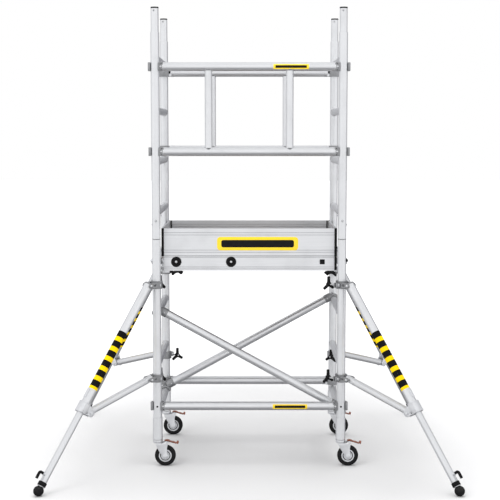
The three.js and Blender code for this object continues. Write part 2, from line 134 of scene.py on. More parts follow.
LEG_WALL = 0.003
BRACE_HEIGHT = 0.040
BRACE_WIDTH = 0.036
BALL_RADIUS = 0.0290
PIN_RADIUS = 0.006
KNOB_BOLT_Y = -0.0425
KNOB_ARMS = 3
WHEEL_RIBS = 8


# ---- What someone may want to change ----
def length(name, description, default, **limits):
    return FloatProperty(name=name, description=description, default=default, unit="LENGTH", **limits)


def colour(name, description, *default):
    return FloatVectorProperty(
        name=name, description=description, default=default, subtype="COLOR", min=0, max=1
    )


class ScaffoldSizes(bpy.types.PropertyGroup):
    post: length("Post radius", "Outside radius of a frame's posts", 0.0254)
    rung: length("Rung radius", "Outside radius of the rungs", 0.022)
    rung_step: length("Rung spacing", "Height from one rung to the next", 0.3)
    rungs: IntProperty(name="Rungs", description="Rungs of each ladder frame", default=4, min=1)
    rail: length("Rail radius", "Outside radius of the rails and base braces", 0.0254)
    wall: length("Tube wall", "Wall thickness of the tubes", 0.002)
    leg: length("Leg radius", "Outside radius of an outrigger's leg", 0.025)
    extension: length("Extension radius", "Outside radius of an outrigger's sliding tube", 0.019)
    tyre: length("Tyre radius", "Outside radius of the casters' tyres", 0.0625)
    knob: length("Knob radius", "Reach of the star knobs' arms", 0.048)
    stripe: length("Stripe pitch", "Distance from one black stripe to the next", 0.064)
    weld: length("Weld bead", "Radius of the weld beads", 0.0023)


class ScaffoldColours(bpy.types.PropertyGroup):
    aluminium: colour("Aluminium", "Drawn and extruded aluminium", 0.83, 0.84, 0.855)
    cast: colour("Castings", "Cast claws, hooks and clamps", 0.38, 0.385, 0.395)
    zinc: colour("Zinc", "Zinc-plated steel", 0.84, 0.85, 0.87)
    tyre: colour("Tyres", "Rubber of the tyres and feet", 0.010, 0.010, 0.011)
    hub: colour("Hubs", "Plastic of the wheel hubs", 0.60, 0.61, 0.63)
    plastic: colour("Black plastic", "Knobs, corner pieces and latches", 0.006, 0.006, 0.0065)
    deck: colour("Deck film", "Film on the deck's plywood", 0.085, 0.05, 0.032)
    plies: colour("Plies", "Bare edges of the plywood", 0.42, 0.27, 0.15)
    brake: colour("Brake lever", "Painted brake levers", 0.27, 0.085, 0.045)
    hazard: colour("Hazard yellow", "Yellow of the stripes and labels", 0.95, 0.66, 0.004)
    floor: colour("Floor", "The pale floor", 0.745, 0.745, 0.745)


# ---- Outlines ----
def arc(x, y, radius, start, end, steps=12):
    """Points of an arc, with its ends in degrees."""
    turns = [math.radians(start + (end - start) * i / steps) for i in range(steps + 1)]
    return [(x + radius * math.cos(turn), y + radius * math.sin(turn)) for turn in turns]


def rounded(x0, x1, y0, y1, radius, steps=6):
    """A rectangle with round corners."""
    middles = ((x1 - radius, y1 - radius, 0), (x0 + radius, y1 - radius, 90),
               (x0 + radius, y0 + radius, 180), (x1 - radius, y0 + radius, 270))
    return [point for x, y, start in middles for point in arc(x, y, radius, start, start + 90, steps)]


def circle(x, y, radius, steps=32):
    return arc(x, y, radius, 0, 360 * (1 - 1 / steps), steps - 1)


def smooth(points, steps=6):
    """A curve through the points, as a list of points."""
    made = []
    for i in range(len(points) - 1):
        a, b = points[max(i - 1, 0)], points[i]
        c, d = points[i + 1], points[min(i + 2, len(points) - 1)]
        for step in range(steps):
            t = step / steps
            made.append(tuple(
                0.5 * (2 * q + (r - p) * t + (2 * p - 5 * q + 4 * r - s) * t**2
                       + (3 * q - p - 3 * r + s) * t**3)
                for p, q, r, s in zip(a, b, c, d)
            ))
    return made + [tuple(points[-1])]


def band(path, half):
    """The outline of a strip that runs along a path of points."""
    left, right = [], []
    for i, point in enumerate(path):
        ahead = Vector(path[min(i + 1, len(path) - 1)]) - Vector(path[max(i - 1, 0)])
        aside = Vector((-ahead.y, ahead.x)).normalized() * half
        left.append(tuple(Vector(point) + aside))
        right.append(tuple(Vector(point) - aside))
    return left + right[::-1]


# Planes that an outline lies in: its own, one across Y, and one across X.
FLAT = Matrix()
ACROSS_Y = Matrix(((1, 0, 0, 0), (0, 0, 1, 0), (0, 1, 0, 0), (0, 0, 0, 1)))
ACROSS_X = Matrix(((0, 0, 1, 0), (1, 0, 0, 0), (0, 1, 0, 0), (0, 0, 0, 1)))


def axes(x, y, z, origin):
    """A frame with those axes at that origin."""
    return Matrix.Translation(origin) @ Matrix((x, y, z)).transposed().to_4x4()


# ---- Meshes ----
TINY = 1e-5  # points closer than this are one
SHARP = math.radians(33)  # edges that turn further than this stay crisp
TUBE_SIDES = 40


class Maker:
    """Gathers the closed shells of one piece. Its UV map is in metres and runs along each shell."""

    def __init__(self, place=FLAT):
        self.mesh = bmesh.new()
        self.uv = self.mesh.loops.layers.uv.new("Surface")
        self.place = place
        self.finishes = []

    def finish(self, name):
        if name not in self.finishes:
            self.finishes.append(name)
        return self.finishes.index(name)

    def skin(self, rings, finish, closed=False):
        """Quads between rings of points. A closed skin's last ring meets its first; others get caps."""
        mesh, sides = self.mesh, len(rings[0])
        rings = [[Vector(point) for point in ring] for ring in rings]
        rows = [[mesh.verts.new(self.place @ point) for point in ring] for ring in rings]
        girth = max(sum((ring[i] - ring[i - 1]).length for i in range(sides)) for ring in rings)
        run = [0.0]
        for before, after in zip(rings, rings[1:] + rings[:1]):
            run.append(run[-1] + (after[0] - before[0]).length)
        faces = []
        for i in range(len(rows) - (0 if closed else 1)):
            here, there = rows[i], rows[(i + 1) % len(rows)]
            for k in range(sides):
                m = (k + 1) % sides
                face = mesh.faces.new((here[k], here[m], there[m], there[k]))
                spots = ((k, i), (k + 1, i), (k + 1, i + 1), (k, i + 1))
                for loop, (across, along) in zip(face.loops, spots):
                    loop[self.uv].uv = (across / sides * girth, run[along])
                faces.append(face)
        if not closed:
            faces += [mesh.faces.new(rows[0]), mesh.faces.new(rows[-1])]
        for face in faces:
            face.material_index = self.finish(finish)

    def lathe(self, profile, start, axis, finish, closed=False, sides=TUBE_SIDES, wave=None):
        """Turns (radius, height) points about an axis; wave(turn) adds to the radius."""
        axis = Vector(axis).normalized()
        across = axis.orthogonal().normalized()
        beside = axis.cross(across)
        turns = [2 * math.pi * i / sides for i in range(sides)]
        swell = [wave(turn) if wave else 0 for turn in turns]
        self.skin(
            [[Vector(start) + axis * height + (across * math.cos(turn) + beside * math.sin(turn))
              * (radius + more) for turn, more in zip(turns, swell)] for radius, height in profile],
            finish, closed,
        )

    def tube(self, start, end, radius, bore, finish="aluminium", edge=0.0006, **options):
        """A tube with eased ends."""
        run = Vector(end) - Vector(start)
        span = run.length
        profile = [(radius - edge, 0), (radius, edge), (radius, span - edge), (radius - edge, span),
                   (bore, span), (bore, 0)]
        self.lathe(profile, start, run, finish, closed=True, **options)

    def bar(self, start, end, radius, finish, edge=0.0008, sides=20):
        """A solid round bar with eased ends."""
        run = Vector(end) - Vector(start)
        span = run.length
        profile = [(radius - edge, 0), (radius, edge), (radius, span - edge), (radius - edge, span)]
        self.lathe(profile, start, run, finish, sides=sides)

    def bolt(self, start, axis, radius, height, finish="zinc", sides=6):
        """A hexagon head on a washer."""
        wide = radius * 1.28
        self.lathe([(wide - 0.0004, 0), (wide, 0.0004), (wide, 0.0014), (wide - 0.0004, 0.0018)],
                   start, axis, finish, sides=24)
        self.lathe([(radius, 0.0015), (radius, height - 0.0012), (radius * 0.86, height)],
                   start, axis, finish, sides=sides)

    def dome(self, start, axis, radius, height, finish="zinc", sides=20):
        """A round head, such as a rivet's."""
        profile = [(radius * math.cos(a), height * math.sin(a)) for a in (0, 0.4, 0.8, 1.15, 1.45)]
        self.lathe([(radius, -0.001)] + profile, start, axis, finish, sides=sides)

    def weld(self, pipe, main, to, finish="weld", bead=0.0023, sides=72):
        """A rippled bead where a pipe along local X leaves a round bar along local Z."""
        rings = []
        for i in range(sides):
            turn = 2 * math.pi * i / sides
            out = Vector((0, math.cos(turn), math.sin(turn)))
            centre = out * pipe + X * math.sqrt(max(main**2 - (pipe * out.y)**2, 0))
            size = bead * (1 + 0.16 * math.sin(turn * 24))
            rings.append([to @ (centre + (X * math.cos(b) + out * math.sin(b)) * size)
                          for b in (2 * math.pi * j / 8 for j in range(8))])
        self.skin(rings, finish, closed=True)

    def plate(self, outlines, low, high, finish, to=FLAT, bevel=0.0008):
        """A flat piece from low to high: the first outline is its edge and the others are holes."""
        curve = bpy.data.curves.new("Outline", "CURVE")
        curve.dimensions = "2D"
        curve.fill_mode = "BOTH"
        curve.extrude = (high - low) / 2 - bevel
        curve.bevel_depth = bevel
        curve.bevel_resolution = 1
        curve.offset = -bevel
        for outline in outlines:
            spline = curve.splines.new("POLY")
            spline.points.add(len(outline) - 1)
            for point, (x, y) in zip(spline.points, outline):
                point.co = (x, y, 0, 1)
            spline.use_cyclic_u = True
        holder = bpy.data.objects.new("Outline", curve)
        mesh = bpy.data.meshes.new_from_object(holder)
        bpy.data.objects.remove(holder)
        bpy.data.curves.remove(curve)
        mesh.transform(Matrix.Translation((0, 0, (low + high) / 2)))
        local = [vertex.co.copy() for vertex in mesh.vertices]
        mesh.transform(self.place @ to)
        first = len(self.mesh.verts)
        for face in self.take(mesh, finish):
            for loop in face.loops:
                spot = local[loop.vert.index - first]
                loop[self.uv].uv = (spot.x + spot.y, spot.z)

    def take(self, mesh, finish):
        """Adds a plain mesh to this piece and removes it; returns the new faces."""
        before = len(self.mesh.faces)
        self.mesh.from_mesh(mesh)
        bpy.data.meshes.remove(mesh)
        self.mesh.verts.index_update()
        self.mesh.faces.ensure_lookup_table()
        faces = self.mesh.faces[before:]
        for face in faces:
            face.material_index = self.finish(finish)
        return faces

    def plain(self, name="Part"):
        """The shells so far as a mesh, closed, facing outwards and with crisp edges marked."""
        bmesh.ops.remove_doubles(self.mesh, verts=self.mesh.verts, dist=TINY)
        bmesh.ops.recalc_face_normals(self.mesh, faces=self.mesh.faces)
        for face in self.mesh.faces:
            face.smooth = True
        for edge in self.mesh.edges:
            edge.smooth = len(edge.link_faces) == 2 and edge.calc_face_angle(0) < SHARP
        mesh = bpy.data.meshes.new(name)
        self.mesh.to_mesh(mesh)
        self.mesh.free()
        return mesh

    def holder(self, name="Part"):
        """The shells so far as an object in the scene, for a modifier to work on."""
        made = bpy.data.objects.new(name, self.plain(name))
        bpy.context.scene.collection.objects.link(made)
        return made

    def repeat(self, tree, one, finish, to=FLAT, **sizes):
        """Adds what a node tree makes of one, a Maker with no place of its own."""
        mesh = applied(one.holder(), tree_modifier, tree, finish, sizes)
        mesh.transform(self.place @ to)
        self.take(mesh, finish)

    def take_maker(self, other, to=FLAT):
        """Adds another Maker's shells, with their finishes."""
        mesh = other.plain()
        mesh.transform(self.place @ to)
        before = len(self.mesh.faces)
        indices = [self.finish(name) for name in other.finishes]
        self.mesh.from_mesh(mesh)
        bpy.data.meshes.remove(mesh)
        self.mesh.faces.ensure_lookup_table()
        for face in self.mesh.faces[before:]:
            face.material_index = indices[face.material_index]

    def cut(self, tool):
        """Takes another Maker's shells out of this one's."""
        mesh = applied(self.holder(), cut_modifier, tool.holder())
        self.mesh = bmesh.new()
        self.mesh.from_mesh(mesh)
        self.uv = self.mesh.loops.layers.uv.verify()
        bpy.data.meshes.remove(mesh)

    def piece(self, name, body, *nodes, slot):
        """Finishes the piece: its materials, the nodes that it stands for, and what it rides on."""
        made = bpy.data.objects.new(name, self.plain(name))
        bpy.context.scene.collection.objects.link(made)
        for finish in self.finishes:
            made.data.materials.append(material(finish))
        if nodes:
            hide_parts(*nodes)
        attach(made, body)
        return made


def applied(holder, add_modifier, *settings):
    """The mesh that a modifier makes of an object, which is removed with what it used."""
    extra = add_modifier(holder, *settings)
    evaluated = holder.evaluated_get(bpy.context.evaluated_depsgraph_get())
    mesh = bpy.data.meshes.new_from_object(evaluated)
    holder.modifiers.clear()
    for used in [holder] + extra:
        bpy.data.objects.remove(used)
    return mesh


def tree_modifier(holder, tree, finish, sizes):
    modifier = holder.modifiers.new("Repeat", "NODES")
    modifier.node_group = tree
    sockets = {item.name: item.identifier for item in tree.interface.items_tree
               if item.in_out == "INPUT"}
    modifier[sockets["Finish"]] = material(finish)
    for name, value in sizes.items():
        modifier[sockets[name.capitalize()]] = value
    return []


def cut_modifier(holder, tool):
    modifier = holder.modifiers.new("Cut", "BOOLEAN")
    modifier.operation = "DIFFERENCE"
    modifier.solver = "EXACT"
    modifier.object = tool
    tool.hide_render = True
    return [tool]


# ---- Node trees that repeat a piece ----
def repeat_tree(name, sockets, place):
    """A tree that sets copies of the incoming piece on points; place(tree, inputs) makes the points."""
    tree = bpy.data.node_groups.new(name, "GeometryNodeTree")
    tree.interface.new_socket("Piece", in_out="INPUT", socket_type="NodeSocketGeometry")
    for socket, kind in sockets:
        tree.interface.new_socket(socket, in_out="INPUT", socket_type=kind)
    tree.interface.new_socket("Finish", in_out="INPUT", socket_type="NodeSocketMaterial")
    tree.interface.new_socket("Pieces", in_out="OUTPUT", socket_type="NodeSocketGeometry")
    inputs = tree.nodes.new("NodeGroupInput").outputs
    points, turn = place(tree, inputs)
    copies = tree.nodes.new("GeometryNodeInstanceOnPoints")
    real = tree.nodes.new("GeometryNodeRealizeInstances")
    paint = tree.nodes.new("GeometryNodeSetMaterial")
    output = tree.nodes.new("NodeGroupOutput")
    tree.links.new(points, copies.inputs["Points"])
    tree.links.new(inputs["Piece"], copies.inputs["Instance"])
    if turn:
        tree.links.new(turn, copies.inputs["Rotation"])
    tree.links.new(copies.outputs["Instances"], real.inputs["Geometry"])
    tree.links.new(real.outputs["Geometry"], paint.inputs["Geometry"])
    tree.links.new(inputs["Finish"], paint.inputs["Material"])
    tree.links.new(paint.outputs["Geometry"], output.inputs["Pieces"])
    return tree


def points_in_a_row(tree, inputs):
    row = tree.nodes.new("GeometryNodeMeshLine")
    row.mode = "OFFSET"
    tree.links.new(inputs["Count"], row.inputs["Count"])
    tree.links.new(inputs["Step"], row.inputs["Offset"])
    return row.outputs["Mesh"], None


def points_in_a_ring(tree, inputs):
    """Points at the origin, each turned a further share of a whole turn about Z."""
    stack = tree.nodes.new("GeometryNodeMeshLine")
    index = tree.nodes.new("GeometryNodeInputIndex")
    share = tree.nodes.new("ShaderNodeMath")
    angle = tree.nodes.new("ShaderNodeMath")
    turn = tree.nodes.new("ShaderNodeCombineXYZ")
    stack.inputs["Offset"].default_value = (0, 0, 0)
    share.operation = "DIVIDE"
    angle.operation = "MULTIPLY"
    angle.inputs[1].default_value = 2 * math.pi
    tree.links.new(inputs["Count"], stack.inputs["Count"])
    tree.links.new(index.outputs["Index"], share.inputs[0])
    tree.links.new(inputs["Count"], share.inputs[1])
    tree.links.new(share.outputs[0], angle.inputs[0])
    tree.links.new(angle.outputs[0], turn.inputs["Z"])
    return stack.outputs["Mesh"], turn.outputs["Vector"]


TREES = {}


def row_tree():
    if "row" not in TREES:
        sockets = (("Count", "NodeSocketInt"), ("Step", "NodeSocketVector"))
        TREES["row"] = repeat_tree("Repeat in a row", sockets, points_in_a_row)
    return TREES["row"]


def ring_tree():
    if "ring" not in TREES:
        TREES["ring"] = repeat_tree("Repeat in a ring", (("Count", "NodeSocketInt"),), points_in_a_ring)
    return TREES["ring"]


# ---- Shader nodes ----
def link_or_set(tree, socket, value):
    if isinstance(value, bpy.types.NodeSocket):
        tree.links.new(value, socket)
    else:
        socket.default_value = value


def add(tree, kind, settings=None, **inputs):
    """A node with its settings; its inputs are values, or sockets to link."""
    made = tree.nodes.new(kind)
    for key, value in (settings or {}).items():
        setattr(made, key, value)
    for key, value in inputs.items():
        link_or_set(tree, made.inputs[key.replace("_", " ")], value)
    return made


def reckon(tree, operation, *values, clamp=False):
    made = add(tree, "ShaderNodeMath", {"operation": operation, "use_clamp": clamp})
    for socket, value in zip(made.inputs, values):
        link_or_set(tree, socket, value)
    return made.outputs[0]


def blend(tree, factor, a, b):
    """A colour between a and b."""
    made = add(tree, "ShaderNodeMix", {"data_type": "RGBA"})
    for index, value in ((0, factor), (6, a), (7, b)):
        link_or_set(tree, made.inputs[index], value)
    return made.outputs[2]


def spread(tree, value, low, high, to_low=0.0, to_high=1.0):
    """The value's range from low to high, stretched to another range."""
    made = add(tree, "ShaderNodeMapRange", Value=value, From_Min=low, From_Max=high,
               To_Min=to_low, To_Max=to_high)
    return made.outputs[0]


def noise(tree, vector, scale, detail=3.0, roughness=0.55):
    made = add(tree, "ShaderNodeTexNoise", Vector=vector, Scale=scale, Detail=detail,
               Roughness=roughness)
    return made.outputs["Fac"]


def stretched(tree, vector, *scale):
    return add(tree, "ShaderNodeMapping", Vector=vector, Scale=scale).outputs[0]


def shade(colour_value, factor):
    return (*(min(channel * factor, 1) for channel in colour_value), 1)


GROUPS = {}


def effect_group(name, inputs, outputs, build):
    """A shader node group, made once: build(tree, inputs) gives its outputs in order."""
    if name not in GROUPS:
        tree = bpy.data.node_groups.new(name, "ShaderNodeTree")
        for socket, kind in inputs:
            tree.interface.new_socket(socket, in_out="INPUT", socket_type=kind)
        for socket in outputs:
            tree.interface.new_socket(socket, in_out="OUTPUT", socket_type="NodeSocketFloat")
        made = build(tree, tree.nodes.new("NodeGroupInput").outputs)
        ends = tree.nodes.new("NodeGroupOutput").inputs
        for socket, value in zip(ends, made):
            tree.links.new(value, socket)
        GROUPS[name] = tree
    return GROUPS[name]


def drawn_lines(tree, inputs):
    """Fine lines along a tube from its drawing, with longer stains, on a UV map in metres."""
    fine = noise(tree, stretched(tree, inputs["Vector"], 1500, 6, 1), 1.0, 2.0)
    broad = noise(tree, stretched(tree, inputs["Vector"], 160, 3, 1), 1.0, 3.0)
    lines = reckon(tree, "ADD", reckon(tree, "MULTIPLY", fine, 0.65),
                   reckon(tree, "MULTIPLY", broad, 0.35))
    return [spread(tree, lines, 0.3, 0.7), spread(tree, broad, 0.35, 0.7)]


def handling_marks(tree, inputs):
    """Soft smudges and a few short scratches, on object coordinates."""
    smudge = spread(tree, noise(tree, inputs["Vector"], 7.0, 4.0, 0.6), 0.48, 0.72)
    lean = add(tree, "ShaderNodeMapping", Vector=inputs["Vector"], Rotation=(0.6, 0.3, 0.8),
               Scale=(900, 60, 30)).outputs[0]
    scratch = spread(tree, noise(tree, lean, 1.0, 1.0), 0.72, 0.78)
    patch = spread(tree, noise(tree, inputs["Vector"], 19.0, 2.0), 0.5, 0.62)
    scratches = reckon(tree, "MULTIPLY", scratch, patch)
    return [reckon(tree, "MULTIPLY", smudge, inputs["Amount"], clamp=True),
            reckon(tree, "MULTIPLY", scratches, inputs["Amount"], clamp=True)]


def moulded_grain(tree, inputs):
    """The grain of a casting or a moulding, as a height and as a patchy mask."""
    sized = add(tree, "ShaderNodeVectorMath", {"operation": "SCALE"}, Vector=inputs["Vector"],
                Scale=inputs["Scale"]).outputs[0]
    fine = noise(tree, sized, 1.0, 4.0, 0.65)
    cells = add(tree, "ShaderNodeTexVoronoi", {"feature": "SMOOTH_F1"}, Vector=sized, Scale=0.6)
    height = reckon(tree, "ADD", fine, reckon(tree, "MULTIPLY", cells.outputs["Distance"], 0.35))
    return [height, spread(tree, noise(tree, inputs["Vector"], 45.0, 3.0), 0.35, 0.68)]


def settled_dust(tree, inputs):
    """Dust on the faces that look up, in patches."""
    upward = add(tree, "ShaderNodeSeparateXYZ",
                 Vector=add(tree, "ShaderNodeNewGeometry").outputs["Normal"])
    patches = spread(tree, noise(tree, inputs["Vector"], 60.0, 4.0, 0.6), 0.35, 0.75)
    facing = spread(tree, upward.outputs["Z"], -0.3, 0.9)
    both = reckon(tree, "MULTIPLY", patches, facing)
    return [reckon(tree, "MULTIPLY", both, inputs["Amount"], clamp=True)]


VECTOR_IN = ("Vector", "NodeSocketVector")
EFFECTS = {
    "drawn": ("Drawn lines", (VECTOR_IN,), ("Lines", "Stain"), drawn_lines),
    "marks": ("Handling marks", (VECTOR_IN, ("Amount", "NodeSocketFloat")),
              ("Smudge", "Scratch"), handling_marks),
    "grain": ("Moulded grain", (VECTOR_IN, ("Scale", "NodeSocketFloat")),
              ("Height", "Patches"), moulded_grain),
    "dust": ("Settled dust", (VECTOR_IN, ("Amount", "NodeSocketFloat")), ("Dust",), settled_dust),
}


def effect(tree, name, **inputs):
    made = add(tree, "ShaderNodeGroup", {"node_tree": effect_group(*EFFECTS[name])}, **inputs)
    return made.outputs


class Finish:
    """A material that is being made, with its Principled shader and its coordinates."""

    def __init__(self, name, **constants):
        self.material = bpy.data.materials.new(name)
        self.material.use_nodes = True
        self.tree = self.material.node_tree
        self.shader = self.tree.nodes["Principled BSDF"]
        for key, value in constants.items():
            self.shader.inputs[key.replace("_", " ")].default_value = value
        self.surface = add(self.tree, "ShaderNodeUVMap", {"uv_map": "Surface"}).outputs[0]
        self.place = add(self.tree, "ShaderNodeTexCoord").outputs["Object"]

    def set(self, **inputs):
        for key, value in inputs.items():
            link_or_set(self.tree, self.shader.inputs[key.replace("_", " ")], value)

    def bump(self, height, strength, distance):
        made = add(self.tree, "ShaderNodeBump", Height=height, Strength=strength, Distance=distance)
        self.tree.links.new(made.outputs[0], self.shader.inputs["Normal"])


def metal(name, colour_value, rough, extruded):
    """Bare metal with drawing lines or a cast grain, stains, smudges and scratches."""
    made = Finish(name, Metallic=0.88, Specular_IOR_Level=0.5)
    tree = made.tree
    if extruded:
        texture, mask = effect(tree, "drawn", Vector=made.surface)[:2]
    else:
        texture, mask = effect(tree, "grain", Vector=made.place, Scale=900.0)[:2]
    smudge, scratch = effect(tree, "marks", Vector=made.place, Amount=0.8)[:2]
    base = blend(tree, mask, shade(colour_value, 0.96), shade(colour_value, 1.02))
    stained = blend(tree, smudge, base, shade(colour_value, 0.93))
    made.set(
        Base_Color=blend(tree, scratch, stained, shade(colour_value, 1.15)),
        Roughness=reckon(tree, "ADD", spread(tree, texture, 0, 1, rough - 0.05, rough + 0.06),
                         reckon(tree, "MULTIPLY", smudge, 0.1)),
    )
    made.bump(texture, 0.25 if extruded else 0.5, 0.00012 if extruded else 0.0004)
    return made.material


def weld_bead(colours):
    made = Finish("weld", Metallic=0.9)
    height, patches = effect(made.tree, "grain", Vector=made.place, Scale=1500.0)[:2]
    made.set(Base_Color=blend(made.tree, patches, shade(colours.aluminium, 0.72),
                              shade(colours.aluminium, 0.95)),
             Roughness=spread(made.tree, height, 0.2, 1, 0.3, 0.55))
    made.bump(height, 0.4, 0.0003)
    return made.material


def moulded(name, colour_value, rough, scale, dust=0.0):
    """Plastic or rubber with a fine grain, and dust where it settles."""
    made = Finish(name, Specular_IOR_Level=0.12)
    tree = made.tree
    height, patches = effect(tree, "grain", Vector=made.place, Scale=scale)[:2]
    base = blend(tree, patches, shade(colour_value, 0.85), shade(colour_value, 1.25))
    fall = effect(tree, "dust", Vector=made.place, Amount=dust)[0]
    made.set(Base_Color=blend(tree, fall, base, (0.35, 0.33, 0.3, 1)),
             Roughness=reckon(tree, "ADD", spread(tree, height, 0.2, 1, rough - 0.06, rough + 0.06),
                              reckon(tree, "MULTIPLY", fall, 0.2)))
    made.bump(height, 0.35, 0.0002)
    return made.material


def painted(name, colour_value, bare, rough):
    """Paint that is chipped to the bare metal here and there."""
    made = Finish(name, Coat_Weight=0.25, Coat_Roughness=0.25)
    tree = made.tree
    height, patches = effect(tree, "grain", Vector=made.place, Scale=700.0)[:2]
    chips = spread(tree, noise(tree, made.place, 190.0, 5.0, 0.7), 0.63, 0.66)
    base = blend(tree, patches, shade(colour_value, 0.85), shade(colour_value, 1.2))
    made.set(Base_Color=blend(tree, chips, base, shade(bare, 0.8)),
             Metallic=reckon(tree, "MULTIPLY", chips, 0.8),
             Roughness=spread(tree, height, 0.2, 1, rough - 0.08, rough + 0.08))
    made.bump(height, 0.3, 0.0002)
    return made.material


BLACK_SHARE = 0.58  # of a stripe pitch


def hazard_tape(colours, pitch):
    """Black and yellow bands round the leg, on a UV map in metres."""
    made = Finish("hazard", Specular_IOR_Level=0.06)
    tree = made.tree
    spot = add(tree, "ShaderNodeSeparateXYZ", Vector=made.surface)
    saw = reckon(tree, "FRACT", reckon(tree, "DIVIDE", spot.outputs[1], pitch))
    black = reckon(tree, "LESS_THAN", saw, BLACK_SHARE)
    worn = spread(tree, noise(tree, made.place, 130.0, 5.0, 0.7), 0.66, 0.72)
    yellow = blend(tree, noise(tree, made.place, 40.0), shade(colours.hazard, 0.86),
                   shade(colours.hazard, 1.04))
    bands = blend(tree, black, yellow, shade(colours.plastic, 1))
    made.set(Base_Color=blend(tree, reckon(tree, "MULTIPLY", worn, 0.35), bands, (0.5, 0.5, 0.48, 1)),
             Roughness=spread(tree, noise(tree, made.place, 60.0), 0.3, 0.7, 0.3, 0.48))
    made.bump(worn, 0.2, 0.0002)
    return made.material


def label_film(colours):
    made = Finish("label", Coat_Weight=0.4, Coat_Roughness=0.15)
    tree = made.tree
    fade = noise(tree, made.place, 25.0)
    made.set(Base_Color=blend(tree, fade, shade(colours.hazard, 0.92), shade(colours.hazard, 1.04)),
             Roughness=spread(tree, noise(tree, made.place, 90.0), 0.3, 0.7, 0.25, 0.4))
    return made.material


def deck_film(colours):
    """Film-faced plywood: a brown film printed with an anti-slip mesh, and bare plies at the edges."""
    made = Finish("deck film", Specular_IOR_Level=0.45)
    tree = made.tree
    spot = add(tree, "ShaderNodeSeparateXYZ", Vector=made.place)
    wires = []
    for angle in (0.5, -0.5):
        lean = add(tree, "ShaderNodeMapping", Vector=made.place, Rotation=(0, 0, angle),
                   Scale=(160, 160, 0)).outputs[0]
        across = add(tree, "ShaderNodeSeparateXYZ", Vector=lean).outputs[0]
        wires.append(spread(tree, reckon(tree, "PINGPONG", across, 0.5), 0.38, 0.5))
    mesh_print = reckon(tree, "MAXIMUM", *wires)
    facing = add(tree, "ShaderNodeSeparateXYZ",
                 Vector=add(tree, "ShaderNodeNewGeometry").outputs["Normal"]).outputs["Z"]
    edge = reckon(tree, "LESS_THAN", reckon(tree, "ABSOLUTE", facing), 0.5)
    layer = reckon(tree, "PINGPONG", reckon(tree, "MULTIPLY", spot.outputs["Z"], 700.0), 1.0)
    grain = noise(tree, stretched(tree, made.place, 12, 160, 160), 1.0, 4.0)
    plies = blend(tree, reckon(tree, "MULTIPLY", layer, grain), shade(colours.plies, 0.55),
                  shade(colours.plies, 1.15))
    wear = spread(tree, noise(tree, made.place, 9.0, 5.0, 0.65), 0.5, 0.75)
    film = blend(tree, wear, shade(colours.deck, 0.85), shade(colours.deck, 1.8))
    printed = blend(tree, reckon(tree, "MULTIPLY", mesh_print, 0.5), film, shade(colours.deck, 0.4))
    dust = effect(tree, "dust", Vector=made.place, Amount=0.25)[0]
    made.set(Base_Color=blend(tree, dust, blend(tree, edge, printed, plies), (0.4, 0.38, 0.35, 1)),
             Roughness=spread(tree, mesh_print, 0, 1, 0.42, 0.6))
    made.bump(reckon(tree, "MULTIPLY", mesh_print, reckon(tree, "SUBTRACT", 1.0, edge)), 0.5, 0.0008)
    return made.material


def floor_paint(colours):
    """Matt studio paint with a painted shade that makes it a little darker round the tower, and that glows
    white far out to meet the backdrop.
    """
    made = Finish("floor", Roughness=0.85, Specular_IOR_Level=0.1, Emission_Color=(1, 1, 1, 1))
    tree = made.tree
    away = add(tree, "ShaderNodeVectorMath", {"operation": "LENGTH"},
               Vector=stretched(tree, made.place, 1, 0.6, 1)).outputs["Value"]
    soft = noise(tree, made.place, 1.5)
    # Painted shade: the colour turns darker from 0.1 to 0.7 m out, which widens the shadow round the tower.
    paint = blend(tree, spread(tree, away, 0.1, 0.7), shade(colours.floor, 1.0),
                  shade(colours.floor, 0.92))
    made.set(Base_Color=blend(tree, reckon(tree, "MULTIPLY", soft, 0.02), paint, (0.5, 0.5, 0.5, 1)),
             Emission_Strength=spread(tree, away, 1.0, 3.4, 0.0, 0.7))
    return made.material


MATERIALS = {}


def material(name):
    """A finish of the scaffold, made the first time that a piece asks for it."""
    if name not in MATERIALS:
        colours = bpy.context.scene.scaffold_colours
        sizes = bpy.context.scene.scaffold_sizes
        makers = {
            "aluminium": lambda: metal("aluminium", colours.aluminium, 0.38, True),
            "cast": lambda: metal("cast", colours.cast, 0.5, False),
            "light cast": lambda: metal("light cast", colours.zinc, 0.42, False),
            "zinc": lambda: metal("zinc", colours.zinc, 0.28, False),
            "weld": lambda: weld_bead(colours),
            "tyre": lambda: moulded("tyre", colours.tyre, 0.72, 1100.0, 0.08),
            "hub": lambda: moulded("hub", colours.hub, 0.42, 1300.0, 0.1),
            "plastic": lambda: moulded("plastic", colours.plastic, 0.45, 1300.0, 0.02),
            "brake": lambda: painted("brake", colours.brake, colours.zinc, 0.4),
            "dark paint": lambda: painted("dark paint", shade(colours.brake, 0.3)[:3], colours.brake, 0.5),
            "hazard": lambda: hazard_tape(colours, sizes.stripe),
            # The groove finish is a darker copy of zinc: painted shade on the floors of the grooves.
            "groove": lambda: metal("groove", shade(colours.zinc, 0.76)[:3], 0.5, False),
            "label": lambda: label_film(colours),
            "deck": lambda: deck_film(colours),
            "floor": lambda: floor_paint(colours),
        }
        MATERIALS[name] = makers[name]()
    return MATERIALS[name]


